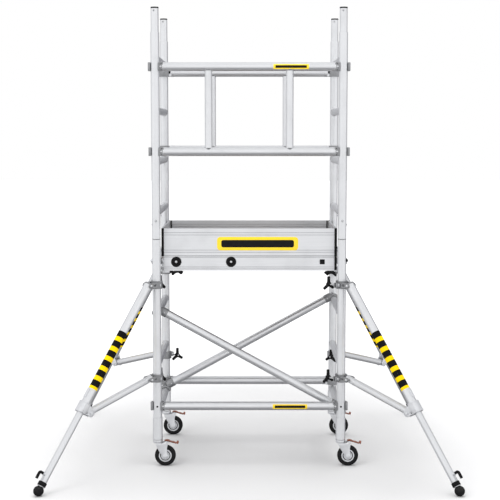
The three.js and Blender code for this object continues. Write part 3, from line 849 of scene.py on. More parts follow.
# ---- Ladder frames ----
def post(place, sizes, shoulder, top, with_collar):
    """One post with its spigot, from place up; shoulder and top are heights above place."""
    made = Maker()
    edge, neck, bore = 0.0020, 0.06, sizes.post - sizes.wall
    spigot_bore = SPIGOT_RADIUS - sizes.wall
    profile = [
        (sizes.post - edge, 0), (sizes.post, edge), (sizes.post, shoulder - edge),
        (sizes.post - edge, shoulder), (SPIGOT_RADIUS, shoulder), (SPIGOT_RADIUS, top - edge),
        (SPIGOT_RADIUS - edge, top), (spigot_bore, top), (spigot_bore, shoulder - neck),
        (bore, shoulder - neck), (bore, 0),
    ]
    made.lathe(profile, place, Z, "aluminium", closed=True, sides=48)
    if with_collar:
        sleeve = [(sizes.post - 0.0003, 0.0002), (COLLAR_RADIUS - edge, 0.0002), (COLLAR_RADIUS, edge),
                  (COLLAR_RADIUS, COLLAR_LENGTH - edge), (COLLAR_RADIUS - edge, COLLAR_LENGTH),
                  (sizes.post - 0.0003, COLLAR_LENGTH)]
        made.lathe(sleeve, place, Z, "aluminium", closed=True, sides=48)
        return made
    hole = Maker()
    facing = Vector((-0.18, -1, 0)).normalized()
    hole_place = Vector(place) + Z * (top - 0.021)
    hole.bar(hole_place, hole_place + facing * 0.04, 0.0047, "plastic")
    made.cut(hole)
    return made


def snap_button(made, place, out):
    """A sprung button that stands in its hole in a post; out is the way that it faces."""
    made.lathe([(0.0062, 0), (0.0062, 0.0006), (0.0052, 0.0006), (0.0052, 0)], place, out, "plastic",
               sides=24, closed=True)
    made.dome(place, out, 0.0047, 0.003, "zinc")


def rung(sizes):
    """A fluted rung along Y at the origin; rung_welds makes the weld bead at each post."""
    made = Maker()
    reach = POST_Y - sizes.post + 0.004
    flutes = 16
    made.lathe(
        [(sizes.rung, 0), (sizes.rung, 2 * reach), (sizes.rung - sizes.wall, 2 * reach),
         (sizes.rung - sizes.wall, 0)], -Y * reach, Y, "aluminium", closed=True, sides=96,
        wave=lambda turn: -0.0008 * (1 + math.cos(turn * flutes)),
    )
    return made


def rung_welds(sizes):
    made = Maker()
    for side in (-1, 1):
        to = axes(-Y * side, X * side, Z, Y * side * POST_Y)
        made.weld(sizes.rung, sizes.post, to, bead=sizes.weld)
    return made


def plug_and_stop(made, place, sign, face, sizes):
    """A flat plug on a base post's face, and a stop on its outer side."""
    plug = place + Vector((0, face * (sizes.post - 0.0004), BASE_BRACE_Z - place.z))
    made.dome(plug, Y * face, 0.0060, 0.0014, "plastic")
    stop = place + Vector((sign * (sizes.post - 0.0010), 0, STOP_Z - place.z))
    made.dome(stop, X * sign, 0.0110, 0.0130, "plastic" if sign > 0 else "light cast")


def ring_band(made, place, inner, outer, low, high, sides=TUBE_SIDES):
    """A thin black ring round a post, from low to high above place."""
    wall = [(inner, low), (outer, low), (outer, high), (inner, high)]
    made.lathe(wall, place, Z, "plastic", closed=True, sides=sides)


def ladder_frame(side, sign, level, sizes):
    node = f"{level}_frame_{side}"
    low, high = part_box(node)
    top = high.z - low.z
    foot = Vector((sign * POST_X, 0, low.z))
    side_button = {"base": 0.185, "upper": 0.085}[level]
    made = Maker()
    for _, face in FACES:
        place = foot + Y * face * POST_Y
        made.take_maker(post(place, sizes, top - SPIGOT_UP, top, level == "base"))
        snap_button(made, place + Vector((0, face * sizes.post, 0.108)), Y * face)
        if level == "base":
            plug_and_stop(made, place, sign, face, sizes)
        else:
            # A thin black ring in the chamfer at an upper post's foot: painted shade in the joint with the
            # post below.
            ring_band(made, place, sizes.post - 0.0022, sizes.post - 0.0004, 0, 0.0014, sides=48)
        snap_button(made, place + Vector((sign * sizes.post, 0, side_button)), X * sign)
        if level == "upper":
            ring_band(made, place, SPIGOT_RADIUS - 0.0022, SPIGOT_RADIUS + 0.0004, top - 0.008, top)
    at_first = Matrix.Translation(foot + Z * FIRST_RUNG)
    rows = {"count": sizes.rungs, "step": (0, 0, sizes.rung_step)}
    made.repeat(row_tree(), rung(sizes), "aluminium", at_first, **rows)
    made.repeat(row_tree(), rung_welds(sizes), "weld", at_first, **rows)
    made.piece(f"ladder_{level}_{side}", "tower", node, slot="tube_aluminium")


# ---- Claws, rails and braces ----
def claw_hook(made, turn):
    """The open ring of a claw, with a rib at its top and bottom."""
    outer, root = 0.041, -45
    lip = [(-outer, -0.010)] + arc(-0.0375, -0.0105, 0.0035, 180, 270, 4) + [(-CAST_BORE, -0.014)]
    hook = arc(0, 0, outer, root + 12, 180, 28) + lip + arc(0, 0, CAST_BORE, 180, root, 28)
    made.plate([hook], -0.025, 0.025, "cast", turn, bevel=0.0022)
    for level in (-0.0215, 0.0215):
        rib = (arc(0, 0, outer + 0.0001, root + 14, 176, 24)
               + arc(0, 0, outer - 0.006, 176, root + 14, 24))
        made.plate([rib], level - 0.0028, level + 0.0028, "cast", turn, bevel=0.0008)


def claw_block(made, turn, start, end):
    """The block that joins a claw to its tube, with two pockets in its outer face and black sheets in them
    that paint the pockets' shade.
    """
    outline = rounded(start, end, -0.0245, 0.0245, 0.004)
    block, pocket, shadow = Maker(), Maker(), Maker()
    block.plate([outline], -0.0235, 0.0005, "cast", ACROSS_Y, 0.0015)
    made.plate([outline], 0.0, 0.0235, "light cast", turn @ ACROSS_Y, 0.0015)
    for sign in (-1, 1):
        corner = [(start + 0.001, sign * 0.0215), (end - 0.006, sign * 0.0215),
                  (start + 0.001, sign * 0.002)]
        pocket.plate([corner], -0.03, -0.0190, "cast", ACROSS_Y, 0.0002)
        # Black plastic sheets in the pockets: painted shade.
        shadow.plate([corner], -0.0205, -0.0180, "plastic", ACROSS_Y, 0.0002)
    block.cut(pocket)
    made.take_maker(shadow, turn)
    made.take_maker(block, turn)


def claw(made, side, face, height):
    """A cast claw that holds a post from inside the tower, with its rivet and release button."""
    turn = axes(-X * side, -Y * face, Z, Vector((side * POST_X, face * POST_Y, height)))
    start, end = 0.0275, POST_X - RAIL_END + 0.006
    claw_hook(made, turn)
    claw_block(made, turn, start, end)
    made.dome(turn @ Vector((0.0335, -0.0236, 0.001)), Y * face, 0.0058, 0.0036, "zinc")
    made.dome(turn @ Vector((0.0355, 0.0236, 0.002)), -Y * face, 0.0090, 0.0030, "plastic")
    sleeve = [(0.0246, 0), (0.0262, 0.0006), (0.0262, 0.021), (0.0257, 0.022), (0.0246, 0.022)]
    made.lathe(sleeve, turn @ Vector((end - 0.004, 0, 0)), -X * side, "aluminium", closed=True)


def horizontal_tube(made, face, height, sizes):
    centre = Vector((0, face * POST_Y, height))
    made.tube(centre - X * RAIL_END, centre + X * RAIL_END, sizes.rail, sizes.rail - sizes.wall)
    for side in (-1, 1):
        claw(made, side, face, height)


def balusters(sizes):
    """A baluster with its weld beads, at the origin."""
    tubes, welds = Maker(), Maker()
    reach = RAIL_SPREAD - sizes.rail + 0.004
    tubes.tube(-Z * reach, Z * reach, BALUSTER_RADIUS, BALUSTER_RADIUS - sizes.wall)
    for sign in (-1, 1):
        to = axes(-Z * sign, Y * sign, X, Z * sign * RAIL_SPREAD)
        welds.weld(BALUSTER_RADIUS, sizes.rail, to, bead=sizes.weld)
    return tubes, welds


def guardrail(name, face, sizes):
    made = Maker()
    for sign in (-1, 1):
        horizontal_tube(made, face, GUARDRAIL_Z + sign * RAIL_SPREAD, sizes)
    tubes, welds = balusters(sizes)
    first = Matrix.Translation((-BALUSTER_X, face * POST_Y, GUARDRAIL_Z))
    rows = {"count": 2, "step": (2 * BALUSTER_X, 0, 0)}
    made.repeat(row_tree(), tubes, "aluminium", first, **rows)
    made.repeat(row_tree(), welds, "weld", first, **rows)
    made.piece("rail_" + name, "tower", "guardrail_" + name, slot="tube_aluminium")


def base_brace(name, face, sizes):
    made = Maker()
    horizontal_tube(made, face, BASE_BRACE_Z, sizes)
    made.piece("brace_" + name, "tower", "base_brace_" + name, slot="tube_aluminium")


def rung_hook(made, place, side, width, sizes):
    """A cast hook over a rung; its lip hangs on the side away from the tower's middle."""
    inner, outer = sizes.rung + HOOK_CLEARANCE, sizes.rung + HOOK_CLEARANCE + 0.011
    turn = axes(X * side, Z, Y, place)
    hook = arc(0, 0, outer, -10, 184, 28) + arc(0, 0, inner, 184, -14, 28)
    made.plate([hook], -width / 2, width / 2, "cast", turn, bevel=0.002)
    for edge in (-1, 1):
        middle_line = edge * (width / 2 - 0.004)
        rib = arc(0, 0, outer + 0.0012, 0, 176, 24) + arc(0, 0, outer - 0.004, 176, 0, 24)
        made.plate([rib], middle_line - 0.002, middle_line + 0.002, "cast", turn, bevel=0.0006)
    made.dome(turn @ Vector((0, outer - 0.0005, 0)), Z, 0.0045, 0.0022, "zinc")


def diagonal_brace(name, face, sizes):
    """A tube between two rungs, high on the side that the face's sign gives."""
    made = Maker()
    ends = []
    for side, count in ((face, 2), (-face, 0)):
        height = FRAME_BOTTOM + FIRST_RUNG + count * sizes.rung_step
        place = Vector((side * POST_X, face * DIAGONAL_Y, height))
        rung_hook(made, place, side, HOOK_WIDTH, sizes)
        ends.append(place + Z * DIAGONAL_RISE)
    along = (ends[1] - ends[0]).normalized()
    inset = along * 0.030
    tube = (ends[0] + inset, ends[1] - inset)
    made.tube(*tube, DIAGONAL_RADIUS, DIAGONAL_RADIUS - sizes.wall)
    for end, sign in ((ends[0], 1), (ends[1], -1)):
        start = end + along * sign * 0.012
        socket = [(0.012, 0), (0.019, 0.001), (0.0262, 0.014), (0.0262, 0.050), (0.0245, 0.052),
                  (0.012, 0.052)]
        made.lathe(socket, start, along * sign, "cast", closed=True)
        for turn in (-1, 1):
            made.dome(start + along * sign * 0.034 + Y * turn * 0.0258, Y * turn, 0.0038, 0.002, "zinc")
    made.piece("diagonal_" + name, "tower", "diagonal_brace_" + name, slot="tube_aluminium")


# ---- Platform ----
def board_outline(low, high, inner, outer, grooves):
    """An extrusion's section, with shallow grooves in both faces. Depth first, then height."""
    deep, half = 0.0022, 0.0019
    sign = 1 if outer > inner else -1
    points = [(inner, low), (outer, low)]
    for groove in grooves:
        points += [(outer, groove - half), (outer - sign * deep, groove - half),
                   (outer - sign * deep, groove + half), (outer, groove + half)]
    points += [(outer, high), (inner, high)]
    for groove in reversed(grooves):
        points += [(inner, groove + half), (inner + sign * deep, groove + half),
                   (inner + sign * deep, groove - half), (inner, groove - half)]
    return points


BOARD_GROOVES = (0.002, 0.023, 0.036, 0.126, 0.140)  # above a toe board's lower edge
BEAM_GROOVES = (0.011, 0.022, 0.0795)  # above a side beam's lower edge


def groove_shade_lines(inner, outer, heights):
    """Dark strips on the floors of the grooves in both faces, which paint the shade in the grooves. Depth
    first, then height.
    """
    sign = 1 if outer > inner else -1
    half, lines = 0.0018, []
    for height in heights:
        for face, way in ((outer, -sign), (inner, sign)):
            depth = sorted((face + way * 0.0012, face + way * 0.0032))
            lines.append(rounded(*depth, height - half, height + half, 0.0004, 2))
    return lines


def side_beam(made, face):
    inner, outer = face * (PLATFORM_Y - BEAM_THICKNESS), face * PLATFORM_Y
    heights = [BEAM_LOW + groove for groove in BEAM_GROOVES]
    made.plate([board_outline(BEAM_LOW, BEAM_TOP, inner, outer, heights)], -PLATFORM_X, PLATFORM_X,
               "aluminium", ACROSS_X, bevel=0.0005)
    # Painted shade in the beam's grooves.
    for line in groove_shade_lines(inner, outer, heights):
        made.plate([line], -PLATFORM_X + 0.0005, PLATFORM_X - 0.0005, "groove", ACROSS_X, bevel=0)


def platform_hook(made, side, face, sizes):
    top_rung = FRAME_BOTTOM + FIRST_RUNG + 3 * sizes.rung_step
    place = Vector((side * POST_X, face * PLATFORM_HOOK_Y, top_rung))
    rung_hook(made, place, side, HOOK_WIDTH, sizes)
    x0, x1 = sorted((side * (PLATFORM_X - 0.012), side * (POST_X - sizes.rung - 0.0016)))
    made.plate([rounded(x0, x1, BEAM_LOW + 0.018, DECK_LOW.z - 0.0006, 0.004)],
               place.y - 0.019, place.y + 0.019, "light cast", ACROSS_Y, bevel=0.0015)
    if side > 0:
        tip = smooth([(0.0275, 0.019), (0.034, 0.012), (0.0385, 0.022), (0.030, 0.034)], 4)
        made.plate([tip], -0.006, 0.006, "plastic", axes(X * side, Z, Y, place), bevel=0.001)


def wind_lock(made, side, face):
    """A wavy plastic lever below the beam's end, which stops the deck lifting.

    The left one sits further in, on a cast tongue.
    """
    turn = axes(-X * side, Z, Y, Vector((side * PLATFORM_X, face * (PLATFORM_Y - 0.014), BEAM_LOW)))
    wave = [(-0.004, -0.017), (0.010, -0.0085), (0.022, -0.0065), (0.036, -0.0085), (0.050, -0.0125),
            (0.058, -0.0165)]
    if side < 0:
        tongue = rounded(-0.010, 0.040, -0.013, 0.0005, 0.003)
        made.plate([tongue], -0.009, 0.009, "light cast", turn, bevel=0.0008)
        wave = [(0.034, -0.006), (0.050, -0.0095), (0.062, -0.0115), (0.076, -0.0075), (0.090, -0.0065),
                (0.102, -0.0085), (0.112, -0.013)]
    made.plate([band(smooth(wave, 6), 0.0062)], -0.013, 0.013, "plastic", turn, bevel=0.0012)
    made.dome(turn @ Vector((0.048, -0.008, face * -0.0125)), Y * face, 0.004, 0.002, "zinc")


def beam_fittings(made, face):
    """Round rubber buffers and a square plug on a beam's outer face."""
    out = Y * face
    height = (BEAM_LOW + BEAM_TOP) / 2 + 0.010
    for x in BUFFER_X:
        place = Vector((x, face * PLATFORM_Y, height))
        buffer = [(0.0305, -0.001), (0.0305, 0.0035), (0.0275, 0.0055), (0.0190, 0.0055), (0.0180, 0.0040),
                  (0.0150, 0.0040), (0.0140, 0.0058), (0.0095, 0.0058), (0.0080, 0.0030), (0.0080, -0.001)]
        made.lathe(buffer, place, out, "plastic", closed=True, sides=48)
        made.dome(place + out * 0.002, out, 0.0082, 0.0035, "aluminium")
    plug = axes(X, Z, Y, Vector((PLUG_X, face * PLATFORM_Y, height)))
    square = rounded(-0.0145, 0.0145, -0.0145, 0.0145, 0.002)
    made.plate([square], *sorted((0, face * 0.0035)), "plastic", plug, bevel=0.0008)
    made.dome(Vector((PLUG_X, face * (PLATFORM_Y + 0.003), height)), out, 0.003, 0.0012, "plastic")


def platform(sizes):
    made = Maker()
    inner = PLATFORM_Y - BEAM_THICKNESS
    cross = (BEAM_LOW + 0.015, DECK_LOW.z - 0.0003)
    for _, face in FACES:
        side_beam(made, face)
        beam_fittings(made, face)
        for _, side in SIDES:
            platform_hook(made, side, face, sizes)
            wind_lock(made, side, face)
    for x in (-PLATFORM_X, HATCH_HIGH.x + 0.011, PLATFORM_X - CROSS_BEAM):
        made.plate([rounded(x + 0.0002, x + CROSS_BEAM, *cross, 0.002)], -inner - 0.001, inner + 0.001,
                   "aluminium", ACROSS_Y, bevel=0.0005)
    made.piece("platform", "tower", "platform_frame", slot="tube_aluminium")


def deck():
    """The fixed part of the deck, with screws along its edges."""
    made = Maker()
    gap = 0.003
    hole = rounded(HATCH_LOW.x - gap, HATCH_HIGH.x + gap, HATCH_LOW.y - gap, HATCH_HIGH.y + gap, 0.004)
    edge = rounded(DECK_LOW.x, DECK_HIGH.x, DECK_LOW.y, DECK_HIGH.y, 0.003)
    made.plate([edge, hole], DECK_LOW.z, DECK_HIGH.z, "deck", bevel=0.0006)
    for y in (DECK_LOW.y + 0.013, DECK_HIGH.y - 0.013):
        made.repeat(row_tree(), screw_head(), "zinc", Matrix.Translation((-0.46, y, DECK_HIGH.z)),
                    count=9, step=(0.115, 0, 0))
    for x in (DECK_LOW.x + 0.014, HATCH_HIGH.x + 0.025, DECK_HIGH.x - 0.014):
        made.repeat(row_tree(), screw_head(), "zinc", Matrix.Translation((x, -0.22, DECK_HIGH.z)),
                    count=5, step=(0, 0.11, 0))
    made.piece("deck", "tower", "deck_board", slot="deck_ply")


def screw_head():
    made = Maker()
    head = [(0.0048, -0.001), (0.0048, 0.0004), (0.0036, 0.0008), (0.0022, 0.0008), (0.0018, 0.0002)]
    made.lathe(head, (0, 0, 0), Z, "zinc", sides=16)
    return made


def trapdoor():
    """The hatch's leaf, with battens, hinge knuckles, a finger slot and a latch."""
    made = Maker()
    low, high = HATCH_LOW, HATCH_HIGH
    board_low = DECK_LOW.z
    finger_slot = rounded(-0.210, -0.100, -0.223, -0.187, 0.017)
    leaf = rounded(low.x, high.x, low.y, high.y, 0.004)
    made.plate([leaf, finger_slot], board_low, high.z, "deck", bevel=0.0006)
    for x in (low.x + 0.020, high.x - 0.050):
        batten = rounded(x, x + 0.030, low.z, board_low + 0.001, 0.002)
        made.plate([batten], low.y + 0.020, high.y - 0.020, "aluminium", ACROSS_Y, bevel=0.0006)
        first = Matrix.Translation((x + 0.015, low.y + 0.04, high.z))
        made.repeat(row_tree(), screw_head(), "zinc", first, count=4, step=(0, 0.135, 0))
    for x in (low.x + 0.09, high.x - 0.09):
        strap = rounded(x - 0.025, x + 0.025, high.y - 0.075, high.y - 0.004, 0.006)
        made.plate([strap], high.z - 0.0002, high.z + 0.0022, "zinc", bevel=0.0006)
        knuckle = Vector((x, high.y - 0.003, high.z + 0.001))
        made.bar(knuckle - X * 0.027, knuckle + X * 0.027, 0.0034, "zinc")
    latch = rounded(-0.055, -0.015, low.y + 0.004, low.y + 0.030, 0.004)
    made.plate([latch], high.z - 0.0002, high.z + 0.004, "plastic", bevel=0.0012)
    made.piece("hatch", "trapdoor", "trapdoor", slot="deck_ply")


def long_toe_board(name, face):
    made = Maker()
    inner, outer = face * (PLATFORM_Y - TOE_BOARD_THICKNESS), face * PLATFORM_Y
    grooves = [BOARD_LOW + groove for groove in BOARD_GROOVES]
    made.plate([board_outline(BOARD_LOW, BOARD_HIGH, inner, outer, grooves)],
               -PLATFORM_X + 0.001, PLATFORM_X - 0.001, "aluminium", ACROSS_X, bevel=0.0005)
    # Painted shade in the board's grooves.
    for line in groove_shade_lines(inner, outer, grooves[1:]):
        made.plate([line], -PLATFORM_X + 0.0015, PLATFORM_X - 0.0015, "groove", ACROSS_X, bevel=0)
    # A strip of the dark cast finish along the outer face's lower edge: a painted shadow line where the board
    # meets the beam.
    depth = sorted((outer - face * 0.0008, outer - face * 0.004))
    shadow = rounded(*depth, BOARD_LOW, BOARD_LOW + 0.0042, 0.0004, 2)
    made.plate([shadow], -PLATFORM_X + 0.0015, PLATFORM_X - 0.0015, "cast", ACROSS_X, bevel=0)
    for side in (-1, 1):
        clip = rounded(*sorted((side * (PLATFORM_X - 0.009), side * (PLATFORM_X - 0.002))),
                       BOARD_LOW + 0.0004, BOARD_HIGH, 0.001)
        thick = sorted((face * (PLATFORM_Y - 0.0195), face * (PLATFORM_Y - 0.016)))
        made.plate([clip], *thick, "plastic", ACROSS_Y, bevel=0.0004)
    made.piece("kick_board_" + name, "tower", "toe_board_" + name, slot="tube_aluminium")


def short_toe_board(name, side):
    """The platform's end board, in black corner pieces; the right ones reach down beside the beam."""
    node = "toe_board_" + name
    low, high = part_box(node)
    made = Maker()
    inner, outer = sorted((low.x, high.x), key=abs)
    grooves = [BOARD_LOW + groove for groove in BOARD_GROOVES]
    outline = board_outline(BOARD_LOW, BOARD_HIGH, inner + side * 0.002, outer - side * 0.002, grooves)
    made.plate([outline], low.y + 0.024, high.y - 0.024, "aluminium", ACROSS_Y, bevel=0.0005)
    # Painted shade in the board's grooves.
    for line in groove_shade_lines(inner + side * 0.002, outer - side * 0.002, grooves[1:]):
        made.plate([line], low.y + 0.0245, high.y - 0.0245, "groove", ACROSS_Y, bevel=0)
    for face in (-1, 1):
        edge = face * high.y
        clip = rounded(*sorted((inner, outer)), *sorted((edge, edge - face * 0.030)), 0.003)
        made.plate([clip], BOARD_LOW, BOARD_HIGH, "plastic", bevel=0.0012)
        if side > 0:
            slim = rounded(*sorted((PLATFORM_X + 0.0005, PLATFORM_X + 0.0125)),
                           *sorted((edge, edge - face * 0.012)), 0.002)
            made.plate([slim], BEAM_LOW + 0.004, BOARD_LOW + 0.002, "plastic", bevel=0.0008)
    made.piece("kick_board_" + name, "tower", node, slot="tube_aluminium")


# ---- Labels, plain yellow with a black band ----
def tube_label(made, start, end, radius, centre, finish, reach, lift):
    """A film wrapped round the front of a tube along X, reaching that many degrees up and down."""
    turns = [math.radians(-90 - reach + 2 * reach * i / 16) for i in range(17)]
    section = [Vector((0, math.sin(turn), math.cos(turn))) * (radius + lift) for turn in turns]
    section += [Vector((0, math.sin(turn), math.cos(turn))) * (radius - 0.0003) for turn in reversed(turns)]
    made.skin([[centre + X * x + point for point in section] for x in (start, end)], finish)


def labels(sizes):
    made = Maker()
    for height in (GUARDRAIL_Z + RAIL_SPREAD, BASE_BRACE_Z):
        centre = Vector((0, -POST_Y, height))
        tube_label(made, 0.140, 0.345, sizes.rail, centre, "label", 33, 0.0004)
        tube_label(made, 0.152, 0.333, sizes.rail, centre, "plastic", 17, 0.0007)
    board = axes(X, Z, -Y, Vector((0.050, -PLATFORM_Y, (BOARD_LOW + BOARD_HIGH) / 2 - 0.008)))
    film, stripe = rounded(-0.240, 0.240, -0.040, 0.040, 0.020), rounded(-0.215, 0.215, -0.022, 0.022, 0.012)
    made.plate([film], -0.0002, 0.0006, "label", board, bevel=0.0002)
    made.plate([stripe], 0.0001, 0.0009, "plastic", board, bevel=0.0002)
    made.piece("labels", "tower", slot="tube_aluminium")


# ---- Casters, in a frame on the floor below the post ----
def tyre_and_hub(made, sizes):
    axle = Vector((TRAIL, 0, AXLE_Z))
    rim = 0.0375
    tread = [(rim, -0.0125), (rim + 0.003, -0.0138), (0.046, -0.0150), (0.055, -0.0152), (0.0592, -0.0136),
             (0.0615, -0.0105), (sizes.tyre, -0.0055)]
    profile = tread + [(radius, -y) for radius, y in reversed(tread)]
    made.lathe(profile, axle, Y, "tyre", closed=True, sides=72)
    face = [(0.0085, -0.0188), (0.0150, -0.0188), (0.0165, -0.0172), (0.0175, -0.0135), (0.0255, -0.0130),
            (0.0262, -0.0050), (0.0302, -0.0050), (0.0308, -0.0140), (0.0340, -0.0152), (0.0368, -0.0148),
            (rim + 0.0008, -0.0128)]
    profile = face + [(radius, -y) for radius, y in reversed(face)]
    made.lathe(profile, axle, Y, "hub", closed=True, sides=64)
    # A black ring in the hub's recess: painted shade.
    shadow = [(0.0258, -0.0105), (0.0306, -0.0105), (0.0306, 0.0105), (0.0258, 0.0105)]
    made.lathe(shadow, axle, Y, "plastic", closed=True, sides=48)
    rib = Maker()
    rib.plate([rounded(0.0165, 0.0252, -0.0012, 0.0012, 0.001)], -0.0142, 0.0142, "hub", bevel=0.0004)
    made.repeat(ring_tree(), rib, "hub", axes(X, Z, -Y, axle), count=WHEEL_RIBS)


def fork_cheek(made, outline, sign):
    """One side plate of a fork, with its axle nut and the head of the lever's pivot."""
    out = Y * sign
    pivot = circle(PEDAL_PIVOT.x, PEDAL_PIVOT.z, 0.0044, 16)
    made.plate([outline, pivot], *sorted((sign * 0.021, sign * 0.0245)), "zinc", ACROSS_Y, bevel=0.0007)
    washer = [(0.0125, 0), (0.0125, 0.0007), (0.0115, 0.0012), (0.008, 0.0012), (0.008, 0)]
    made.lathe(washer, (TRAIL, sign * 0.0245, AXLE_Z), out, "zinc", closed=True)
    made.bolt((TRAIL, sign * 0.0252, AXLE_Z), out, 0.0078, 0.0052)
    made.dome((PEDAL_PIVOT.x, sign * 0.0243, PEDAL_PIVOT.z), out, 0.0062, 0.0024)


def swivel_head(made, low):
    """The ball race above a fork, the nut below it and the stem that goes up into the post."""
    race = [(0.0240, 0.1405), (0.0272, 0.1412), (0.0284, 0.1440), (0.0284, 0.1468), (0.0262, 0.1478),
            (0.0262, 0.1492), (0.0288, 0.1500), (0.0290, 0.1525), (0.0290, 0.1560), (0.0282, 0.1578),
            (0.0150, 0.1580)]
    made.lathe(race, (0, 0, 0), Z, "zinc", sides=56)
    nut = [(0.0140, 0), (0.0140, -0.0030), (0.0120, -0.0045)]
    made.lathe(nut, (0, 0, low + 0.001), Z, "zinc", sides=6)
    stem = [(0.0205, 0), (0.0220, 0.002), (0.0220, 0.070), (0.0200, 0.075)]
    made.lathe(stem, (0, 0, 0.158), Z, "zinc")


def fork(made):
    crown = (0.137, 0.141)
    front = [(-0.012, 0.128), (0.010, 0.088), (TRAIL - 0.0125, AXLE_Z - 0.002)]
    back = [(TRAIL + 0.0140, AXLE_Z + 0.004), (0.055, 0.105), (0.0605, 0.134), (0.062, 0.149)]
    outline = ([(-0.014, crown[1])] + smooth(front, 5) + arc(TRAIL, AXLE_Z, 0.014, 205, 350, 14)
               + smooth(back, 5) + [(0.048, 0.152), (0.032, crown[1])])
    for sign in (-1, 1):
        fork_cheek(made, outline, sign)
    made.bar((TRAIL, -0.0248, AXLE_Z), (TRAIL, 0.0248, AXLE_Z), 0.0080, "zinc")
    made.plate([rounded(-0.0145, 0.033, -0.0245, 0.0245, 0.005)], *crown, "zinc", bevel=0.0009)
    swivel_head(made, crown[0])


def brake_pedal(made):
    """A wavy pressed lever with two cheeks, and a round knob at its tip."""
    x, z = PEDAL_PIVOT.x, PEDAL_PIVOT.z
    wave = smooth([(x - 0.014, z + 0.0065), (x - 0.004, z + 0.0095), (x + 0.010, z + 0.0080),
                   (x + 0.024, z + 0.0005), (x + 0.038, z - 0.0020), (x + 0.050, z - 0.0070),
                   (x + 0.062, z - 0.0105), (x + 0.068, z - 0.0130)], 6)
    made.plate([band(wave, 0.0011)], -0.0140, 0.0140, "brake", ACROSS_Y, bevel=0.0006)
    sleeve = [(0.0042, 0), (0.0068, 0), (0.0068, 0.028), (0.0042, 0.028)]
    made.lathe(sleeve, (x, -0.014, z), Y, "dark paint", sides=28, closed=True)
    cheek = (smooth([(x - 0.012, z + 0.0060), (x - 0.002, z + 0.0085), (x + 0.012, z + 0.0070),
                     (x + 0.026, z - 0.0005), (x + 0.042, z - 0.0045), (x + 0.056, z - 0.0090)], 5)
             + smooth([(x + 0.054, z - 0.0112), (x + 0.030, z - 0.0046), (x + 0.010, z + 0.0015),
                       (x - 0.004, z + 0.0020), (x - 0.012, z + 0.0030)], 5))
    for sign in (-1, 1):
        thick = sorted((sign * 0.0140, sign * 0.0118))
        made.plate([cheek], *thick, "dark paint", ACROSS_Y, bevel=0.0005)
    made.bar((x, -0.0235, z), (x, 0.0235, z), 0.0036, "zinc")
    knob = [(0.0030, 0), (0.0058, 0.001), (0.0068, 0.004), (0.0068, 0.016), (0.0058, 0.019),
            (0.0030, 0.020)]
    made.lathe(knob, (x + 0.0640, -0.010, z - 0.0030), Y, "brake", sides=28)


def caster(corner, sizes):
    place = Matrix.Translation(POST[corner])
    parts = (("fork_", "caster_", "caster_fork_", "caster_steel", fork),
             ("wheel_", "wheel_", "caster_wheel_", "tyre_rubber", lambda made: tyre_and_hub(made, sizes)),
             ("pedal_", "pedal_", "brake_pedal_", "brake_copper", brake_pedal))
    for name, body, node, slot, build in parts:
        made = Maker(place)
        build(made)
        made.piece("cast_" + name + corner, body + corner, node + corner, slot=slot)


# ---- Outriggers, in a frame on the floor below the post with +X outwards ----
class Outrigger:
    """The directions and places of one outrigger."""

    def __init__(self, corner):
        slide = Vector(JOINTS["outrigger_extend_" + corner]["axis"])
        self.along = Vector((slide.xy.length, 0, slide.z)).normalized()
        self.inward = Vector((self.along.z, 0, -self.along.x))
        heading = math.atan2(slide.y, slide.x)
        self.ground = Matrix.Translation(POST[corner]) @ Matrix.Rotation(heading, 4, "Z")
        self.top = Vector((PIVOT_OUT, 0, CLAMP_Z["upper"]))
        self.leg = self.ground @ axes(self.inward, Y, self.along, self.top)
        foot_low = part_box("outrigger_foot_" + corner)[0].z
        self.span = (self.top.z - foot_low - BALL_RADIUS) / -self.along.z

    def on_leg(self, s, n=0.0):
        """The point s down the leg from its pivot and n towards the post."""
        return self.top + self.along * s + self.inward * n


def leg(made, sizes):
    """Along local Z from the pivot; local X is towards the post."""
    made.tube((0, 0, -0.008), (0, 0, LEG_END), sizes.leg, sizes.leg - LEG_WALL, sides=48)
    cap = [(0.0215, 0.012), (0.0252, -0.0045), (0.0266, -0.0060), (0.0264, -0.0105), (0.0240, -0.0142),
           (0.0170, -0.0172), (0.0080, -0.0182)]
    made.lathe(cap, (0, 0, 0), Z, "cast", sides=48)
    inner, outer = sizes.leg - 0.0006, sizes.leg + 0.0003
    tape = [(outer, TAPE_SPAN[0]), (outer, TAPE_SPAN[1]), (inner, TAPE_SPAN[1]), (inner, TAPE_SPAN[0])]
    made.lathe(tape, (0, 0, 0), Z, "hazard", closed=True, sides=64)
    made.plate([rounded(-0.0300, -0.0235, -0.009, 0.009, 0.003)], 0.700, 0.752, "light cast", bevel=0.0015)


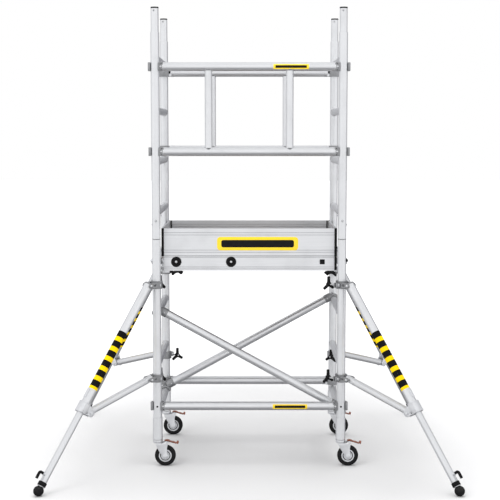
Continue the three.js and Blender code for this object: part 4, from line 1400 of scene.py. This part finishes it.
def leg_bracket(made, sizes):
    """A cast collar at the leg's lower end with two cheeks that hold the brace."""
    low, high = BRACKET_SPAN
    outer = sizes.leg + 0.004
    collar = rounded(-outer, sizes.leg + 0.003, -outer, outer, 0.016)
    made.plate([collar, circle(0, 0, sizes.leg - 0.0005, 40)], low, high, "light cast", bevel=0.0016)
    ridge = rounded(-outer - 0.0012, sizes.leg + 0.002, -outer - 0.0012, outer + 0.0012, 0.017)
    bore = circle(0, 0, sizes.leg - 0.0004, 40)
    for edge in (low + 0.003, high - 0.007):
        made.plate([ridge, bore], edge, edge + 0.004, "light cast", bevel=0.0008)
    s, n = BRACE_PIVOT
    cheek = [(0.004, low + 0.002)] + arc(n, s, 0.0235, -62, 62, 14) + [(0.004, high - 0.002)]
    slot = rounded(0.018, 0.030, s + 0.010, s + 0.018, 0.003, 3)
    for sign in (-1, 1):
        thick = sorted((sign * 0.0205, sign * 0.0265))
        made.plate([cheek, slot], *thick, "light cast", ACROSS_Y, bevel=0.0012)
        made.bolt((n, sign * 0.0262, s), Y * sign, 0.0085, 0.0072)
    made.bar((n, -0.028, s), (n, 0.028, s), PIN_RADIUS, "zinc")
    for sign in (-1, 1):
        rivet = Maker()
        rivet.dome((0, 0, 0), Z, 0.0036, 0.0018)
        turn = axes(X, Z * -sign, Y * sign, Vector((-0.012, sign * (outer + 0.0001), low + 0.018)))
        made.repeat(row_tree(), rivet, "zinc", turn, count=2, step=(0, -0.030 * sign, 0))


def rounded_bar(made, start, end, up, size, finish):
    """A flattened tube between two points, with its tall side along up; size is height, width and wall."""
    height, width, wall = size
    rings = []
    corner = width / 2 - 0.0012
    for point, inset in ((start, 0), (end, 0), (end, wall), (start, wall)):
        tall, wide = height / 2 - inset, width / 2 - inset
        outline = rounded(-tall, tall, -wide, wide, corner - inset, 8)
        rings.append([point + up * a + Y * b for a, b in outline])
    made.skin(rings, finish, closed=True)


def brace(made, rig):
    start = Vector((PIVOT_OUT, 0, CLAMP_Z["lower"]))
    end = rig.on_leg(*BRACE_PIVOT)
    along = (end - start).normalized()
    up = Vector((-along.z, 0, along.x))
    size = (BRACE_HEIGHT, BRACE_WIDTH, LEG_WALL)
    band_size = (BRACE_HEIGHT + 0.0012, BRACE_WIDTH + 0.0012, LEG_WALL)
    rounded_bar(made, start - along * 0.018, end + along * 0.014, up, size, "aluminium")
    for point, reach in ((start, 0.050), (end, -0.052)):
        for sign in (-1, 1):
            made.dome(point + along * reach + Y * sign * 0.0178, Y * sign, 0.0042, 0.002)
    rounded_bar(made, start + along * 0.030, start + along * 0.038, up, band_size, "light cast")
    rounded_bar(made, end - along * 0.040, end - along * 0.032, up, band_size, "light cast")


def knob_arm(sizes):
    """One arm of a star knob, along local X; its stations are reach, half width and half thickness."""
    made = Maker()
    stations = ((0.08, 0.0115, 0.0105), (0.35, 0.0098, 0.0098), (0.65, 0.0086, 0.0090),
                (0.85, 0.0094, 0.0090), (0.96, 0.0080, 0.0076), (1.0, 0.0030, 0.0030))
    turns = [2 * math.pi * i / 20 for i in range(20)]
    rings = [[(reach * sizes.knob, wide * math.cos(turn), thick * math.sin(turn)) for turn in turns]
             for reach, wide, thick in stations]
    made.skin(rings, "plastic")
    return made


def star_knob(made, place, out, sizes):
    """A three-armed knob on the end of a bolt; out is the way that it faces."""
    turn = axes(Z, out.cross(Z), out, place)
    made.repeat(ring_tree(), knob_arm(sizes), "plastic", turn, count=KNOB_ARMS)
    hub = [(0.0110, -0.012), (0.0140, -0.010), (0.0145, 0.004), (0.0125, 0.0095), (0.0085, 0.0110),
           (0.0078, 0.0085)]
    made.lathe(hub, place, out, "plastic", sides=36)
    made.dome(place + out * 0.0082, out, 0.0062, 0.0030)


def clamp_halves(made, centre):
    """Two ribbed half shells round the post, with the knuckles and the pin that hinge them."""
    outer, half = 0.034, 0.023
    at = Matrix.Translation(centre)
    for start, end in ((-82, 87), (93, 262)):
        shell = arc(0, 0, outer, start, end, 30) + arc(0, 0, CAST_BORE, end, start, 30)
        made.plate([shell], -half, half, "cast", at, bevel=0.0014)
        rib = (arc(0, 0, outer + 0.0013, start + 3, end - 3, 26)
               + arc(0, 0, outer - 0.004, end - 3, start + 3, 26))
        for level in (-half + 0.003, half - 0.003):
            made.plate([rib], level - 0.0024, level + 0.0024, "cast", at, bevel=0.0007)
    hinge = centre + Y * (outer + 0.0005)
    for level in (-0.0145, 0.0145):
        made.bar(hinge + Z * (level - 0.007), hinge + Z * (level + 0.007), 0.0048, "cast")
    made.bar(hinge - Z * 0.0235, hinge + Z * 0.0235, 0.0022, "zinc")


def clamp_ears(made, centre):
    """The lugs that the knob draws together, and the two ears that hold a leg's or a brace's pivot."""
    at = Matrix.Translation(centre)
    ear = [(0.006, -0.0180)] + arc(PIVOT_OUT, 0, 0.0150, -88, 88, 16) + [(0.006, 0.0180)]
    hole = rounded(0.030, 0.046, -0.006, 0.006, 0.005, 4)
    collar = [(0.0125, 0), (0.0125, 0.0018), (0.0112, 0.0026), (0.006, 0.0026)]
    for sign in (-1, 1):
        lug = [(sign * 0.0042, -0.026), (sign * 0.0140, -0.029), (sign * 0.0140, -0.052)]
        lug += arc(sign * 0.0100, -0.0535, 0.004, 0 if sign > 0 else 180, -90, 6) + [(sign * 0.0042, -0.0575)]
        made.plate([lug], -0.0145, 0.0145, "cast", at, bevel=0.0012)
        thick = sorted((sign * 0.0265, sign * 0.0325))
        made.plate([ear, hole], *thick, "cast", at @ ACROSS_Y, bevel=0.0013)
        boss = centre + Vector((PIVOT_OUT, sign * 0.0320, 0))
        made.lathe(collar, boss, Y * sign, "cast")
        made.dome(boss + Y * sign * 0.0024, Y * sign, 0.0078, 0.0044)
    pivot = centre + X * PIVOT_OUT
    made.bar(pivot - Y * 0.034, pivot + Y * 0.034, PIN_RADIUS, "zinc")


def clamp(made, height, sizes):
    """A hinged cast clamp on the post, closed by a bolt with a star knob."""
    centre = Vector((0, 0, height))
    clamp_halves(made, centre)
    clamp_ears(made, centre)
    shank = centre + Y * KNOB_BOLT_Y
    made.bar(shank - X * 0.054, shank + X * 0.022, 0.0046, "zinc")
    made.bolt(shank + X * 0.0138, X, 0.0078, 0.0078)
    washer = [(0.0062, 0), (0.0092, 0.0008), (0.0092, 0.0022), (0.0062, 0.003)]
    made.lathe(washer, shank - X * 0.0138, -X, "zinc", sides=24)
    star_knob(made, shank - X * 0.064, -X, sizes)


def extension(made, rig, sizes):
    """The sliding tube, with the boss that guides the lock handle's pin."""
    end = rig.span - BALL_RADIUS - 0.0253
    bore = sizes.extension - LEG_WALL
    made.tube((0, 0, EXTENSION_TOP), (0, 0, end), sizes.extension, bore, sides=44)
    ring = [(0.0188, 0), (0.0204, 0.0004), (0.0204, 0.0036), (0.0188, 0.004)]
    made.lathe(ring, (0, 0, end - 0.012), Z, "light cast", closed=True)
    boss = [(0.0056, 0.0155), (0.0112, 0.0165), (0.0112, 0.0200), (0.0100, 0.0225), (0.0100, 0.0305),
            (0.0092, 0.0312), (0.0056, 0.0312)]
    made.lathe(boss, (0, 0, LOCK_S), -X, "light cast", closed=True)


def foot(made, rig):
    """A rubber ball in a black collar, with a light washer between them."""
    end = Vector((0, 0, rig.span - BALL_RADIUS - 0.025))
    collar = [(0.0192, 0), (0.0232, 0.0006), (0.0240, 0.0022), (0.0240, 0.0225), (0.0230, 0.0245),
              (0.0140, 0.0250)]
    made.lathe(collar, end, Z, "plastic", sides=48)
    ridge = [(0.0235, -0.0008), (0.02395, 0), (0.0235, 0.0008), (0.0228, 0)]
    for height in (0.007, 0.012, 0.017):
        made.lathe(ridge, end + Z * height, Z, "plastic", closed=True, sides=48)
    washer = [(0.0120, 0.0235), (0.0215, 0.0240), (0.0222, 0.0258), (0.0215, 0.0278), (0.0120, 0.0290)]
    made.lathe(washer, end, Z, "light cast", sides=44)
    steps = 30
    turns = [math.pi * (i + 0.5) / steps for i in range(steps)]
    ball = [(BALL_RADIUS * math.sin(turn), -BALL_RADIUS * math.cos(turn)) for turn in turns]
    made.lathe(ball, (0, 0, rig.span), Z, "tyre", sides=56)


def handle_path(out, bend):
    """The middle of the bent rod: straight out from the leg, then a bend, then along the leg."""
    turns = [math.pi / 2 * i / 8 for i in range(1, 9)]
    path = [Vector((-0.0315, 0, LOCK_S)), Vector((bend - out, 0, LOCK_S))]
    path += [Vector((bend - out - bend * math.sin(turn), 0, LOCK_S + bend - bend * math.cos(turn)))
             for turn in turns]
    return path + [Vector((-out, 0, LOCK_S + 0.0405))]


def lock_handle(made, sizes):
    """A bent rod: its pin goes through the boss, and its grip lies along the tube."""
    made.bar((-0.011, 0, LOCK_S), (-0.040, 0, LOCK_S), 0.0046, "zinc")
    path = handle_path(sizes.extension + 0.0355, 0.010)
    turns = [2 * math.pi * i / 24 for i in range(24)]
    rings = []
    for i, point in enumerate(path):
        ahead = (path[min(i + 1, len(path) - 1)] - path[max(i - 1, 0)]).normalized()
        aside = ahead.cross(Y)
        radius = 0.0082 if i else 0.0070
        rings.append([point + (aside * math.cos(turn) + Y * math.sin(turn)) * radius for turn in turns])
    tip = path[-1] + Z * 0.0015
    rings.append([tip + (point - path[-1]) * 0.72 for point in rings[-1]])
    made.skin(rings, "plastic")


def outrigger(corner, sizes):
    rig = Outrigger(corner)
    body = "outrigger_" + corner
    arm = Maker(rig.leg)
    leg(arm, sizes)
    leg_bracket(arm, sizes)
    arm.piece("leg_" + corner, body, "outrigger_leg_" + corner, slot="tube_aluminium")
    stay = Maker(rig.ground)
    brace(stay, rig)
    stay.piece("stay_" + corner, body, "outrigger_brace_" + corner, slot="tube_aluminium")
    for level, height in CLAMP_Z.items():
        made = Maker(rig.ground)
        clamp(made, height, sizes)
        made.piece(f"coupler_{level}_{corner}", body, f"{level}_clamp_{corner}", slot="cast_alloy")
    slider = Maker(rig.leg)
    extension(slider, rig, sizes)
    sliding = "extension_" + corner
    slider.piece("slider_" + corner, sliding, "outrigger_extension_" + corner, slot="tube_aluminium")
    pad = Maker(rig.leg)
    foot(pad, rig)
    pad.piece("pad_" + corner, sliding, "outrigger_foot_" + corner, slot="foot_rubber")
    grip = Maker(rig.leg)
    lock_handle(grip, sizes)
    grip.piece("grip_" + corner, "lock_handle_" + corner, "lock_handle_" + corner, slot="black_plastic")


# ---- Stage ----
CAMERA_PLACE = (0.005, -7.353, 1.997)
CAMERA_TILT = math.radians(90 - 5.74)
CAMERA_LENS = 86.0
FLOOR_REACH = 40
LAMPS = (("Key", (-3.6, -4.6, 5.2), 3.0, 90), ("Top", (0, 0.3, 6.0), 7.0, 330))  # place, size, power
LAMPS_AIM = Vector((0, 0, 1.2))


def camera(scene):
    made = bpy.data.objects.new("Camera", bpy.data.cameras.new("Camera"))
    made.location = CAMERA_PLACE
    made.rotation_euler = (CAMERA_TILT, 0, 0)
    made.data.lens = CAMERA_LENS
    made.data.clip_end = 200
    scene.collection.objects.link(made)
    scene.camera = made


def studio_floor(scene):
    plane = bpy.data.meshes.new("Floor")
    corners = [(x * FLOOR_REACH, y * FLOOR_REACH, 0) for x, y in ((-1, -1), (1, -1), (1, 1), (-1, 1))]
    plane.from_pydata(corners, [], [(0, 1, 2, 3)])
    ground = bpy.data.objects.new("Floor", plane)
    ground.data.materials.append(material("floor"))
    scene.collection.objects.link(ground)
    ground.visible_glossy = False


def lamp(scene, name, place, size, power):
    light = bpy.data.lights.new(name, "AREA")
    light.size = size
    light.energy = power
    holder = bpy.data.objects.new(name, light)
    holder.location = place
    holder.rotation_euler = (LAMPS_AIM - Vector(place)).to_track_quat("-Z", "Y").to_euler()
    holder.visible_glossy = False
    scene.collection.objects.link(holder)


def stage():
    scene = bpy.context.scene
    camera(scene)
    scene.view_settings.view_transform = "Standard"
    studio_floor(scene)
    for name, place, size, power in LAMPS:
        lamp(scene, name, place, size, power)
    sky()


def sky():
    """A white studio with a bright ceiling and front, and dim walls that draw the edges of the tubes."""
    world = bpy.data.worlds.new("Studio")
    bpy.context.scene.world = world
    world.use_nodes = True
    tree = world.node_tree
    way = add(tree, "ShaderNodeSeparateXYZ",
              Vector=add(tree, "ShaderNodeTexCoord").outputs["Generated"]).outputs
    far_side = blend(tree, spread(tree, way["X"], -0.4, 0.3), (0.54, 0.54, 0.56, 1), (0.15, 0.15, 0.17, 1))
    walls = blend(tree, spread(tree, way["Y"], 0.0, 0.6), (1, 1, 1.01, 1), far_side)
    under = blend(tree, spread(tree, way["Z"], -0.15, -0.65), walls, (0.2, 0.2, 0.21, 1))
    lit = blend(tree, spread(tree, way["Z"], 0.35, 0.9), under, (0.8, 0.8, 0.81, 1))
    direct = add(tree, "ShaderNodeLightPath").outputs["Is Camera Ray"]
    background = tree.nodes["Background"]
    tree.links.new(blend(tree, direct, lit, (1, 1, 1, 1)), background.inputs["Color"])


# ---- Operators ----
class SCAFFOLD_OT_stage(bpy.types.Operator):
    """Set up the floor, the lamps, the sky and the camera"""

    bl_idname = "scaffold.stage"
    bl_label = "Stage"

    def execute(self, context):
        stage()
        return {"FINISHED"}


class SCAFFOLD_OT_ladder_frames(bpy.types.Operator):
    """Build the four ladder frames"""

    bl_idname = "scaffold.ladder_frames"
    bl_label = "Ladder frames"

    def execute(self, context):
        for side, sign in SIDES:
            for level in ("base", "upper"):
                ladder_frame(side, sign, level, context.scene.scaffold_sizes)
        return {"FINISHED"}


class SCAFFOLD_OT_rails(bpy.types.Operator):
    """Build the guardrails and the base braces"""

    bl_idname = "scaffold.rails"
    bl_label = "Guardrails and base braces"

    def execute(self, context):
        for name, face in FACES:
            guardrail(name, face, context.scene.scaffold_sizes)
            base_brace(name, face, context.scene.scaffold_sizes)
        return {"FINISHED"}


class SCAFFOLD_OT_diagonals(bpy.types.Operator):
    """Build the two diagonal braces"""

    bl_idname = "scaffold.diagonals"
    bl_label = "Diagonal braces"

    def execute(self, context):
        for name, face in FACES:
            diagonal_brace(name, face, context.scene.scaffold_sizes)
        return {"FINISHED"}


class SCAFFOLD_OT_platform(bpy.types.Operator):
    """Build the platform's frame, its deck and its trapdoor"""

    bl_idname = "scaffold.platform"
    bl_label = "Platform"

    def execute(self, context):
        platform(context.scene.scaffold_sizes)
        deck()
        trapdoor()
        return {"FINISHED"}


class SCAFFOLD_OT_toe_boards(bpy.types.Operator):
    """Build the four toe boards"""

    bl_idname = "scaffold.toe_boards"
    bl_label = "Toe boards"

    def execute(self, context):
        for name, face in FACES:
            long_toe_board(name, face)
        for name, side in SIDES:
            short_toe_board(name, side)
        return {"FINISHED"}


class SCAFFOLD_OT_labels(bpy.types.Operator):
    """Build the plain labels on the front"""

    bl_idname = "scaffold.labels"
    bl_label = "Labels"

    def execute(self, context):
        labels(context.scene.scaffold_sizes)
        return {"FINISHED"}


class SCAFFOLD_OT_casters(bpy.types.Operator):
    """Build the four casters, with their brake levers"""

    bl_idname = "scaffold.casters"
    bl_label = "Casters"

    def execute(self, context):
        for corner in CORNERS:
            caster(corner, context.scene.scaffold_sizes)
        return {"FINISHED"}


class SCAFFOLD_OT_outriggers(bpy.types.Operator):
    """Build the four outriggers, with their clamps, feet and lock handles"""

    bl_idname = "scaffold.outriggers"
    bl_label = "Outriggers"

    def execute(self, context):
        for corner in CORNERS:
            outrigger(corner, context.scene.scaffold_sizes)
        return {"FINISHED"}


OPERATORS = (
    SCAFFOLD_OT_stage, SCAFFOLD_OT_ladder_frames, SCAFFOLD_OT_rails, SCAFFOLD_OT_diagonals,
    SCAFFOLD_OT_platform, SCAFFOLD_OT_toe_boards, SCAFFOLD_OT_labels, SCAFFOLD_OT_casters,
    SCAFFOLD_OT_outriggers,
)


class SCAFFOLD_PT_panel(bpy.types.Panel):
    """The scaffold's operators and properties in the 3D view's sidebar"""

    bl_idname = "SCAFFOLD_PT_panel"
    bl_label = "Mobile Tower Scaffold"
    bl_space_type = "VIEW_3D"
    bl_region_type = "UI"
    bl_category = "Scaffold"

    def draw(self, context):
        for operator in OPERATORS:
            self.layout.operator(operator.bl_idname)
        for group in (context.scene.scaffold_sizes, context.scene.scaffold_colours):
            for name in group.__annotations__:
                self.layout.prop(group, name)


CLASSES = (ScaffoldSizes, ScaffoldColours, *OPERATORS, SCAFFOLD_PT_panel)


def register():
    for cls in CLASSES:
        bpy.utils.register_class(cls)
    bpy.types.Scene.scaffold_sizes = PointerProperty(type=ScaffoldSizes)
    bpy.types.Scene.scaffold_colours = PointerProperty(type=ScaffoldColours)


def unregister():
    del bpy.types.Scene.scaffold_colours
    del bpy.types.Scene.scaffold_sizes
    for cls in reversed(CLASSES):
        bpy.utils.unregister_class(cls)


def main():
    register()
    bpy.ops.scaffold.stage()
    bpy.ops.scaffold.ladder_frames()
    bpy.ops.scaffold.rails()
    bpy.ops.scaffold.diagonals()
    bpy.ops.scaffold.platform()
    bpy.ops.scaffold.toe_boards()
    bpy.ops.scaffold.labels()
    bpy.ops.scaffold.casters()
    bpy.ops.scaffold.outriggers()
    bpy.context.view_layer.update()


if __name__ == "__main__":
    main()
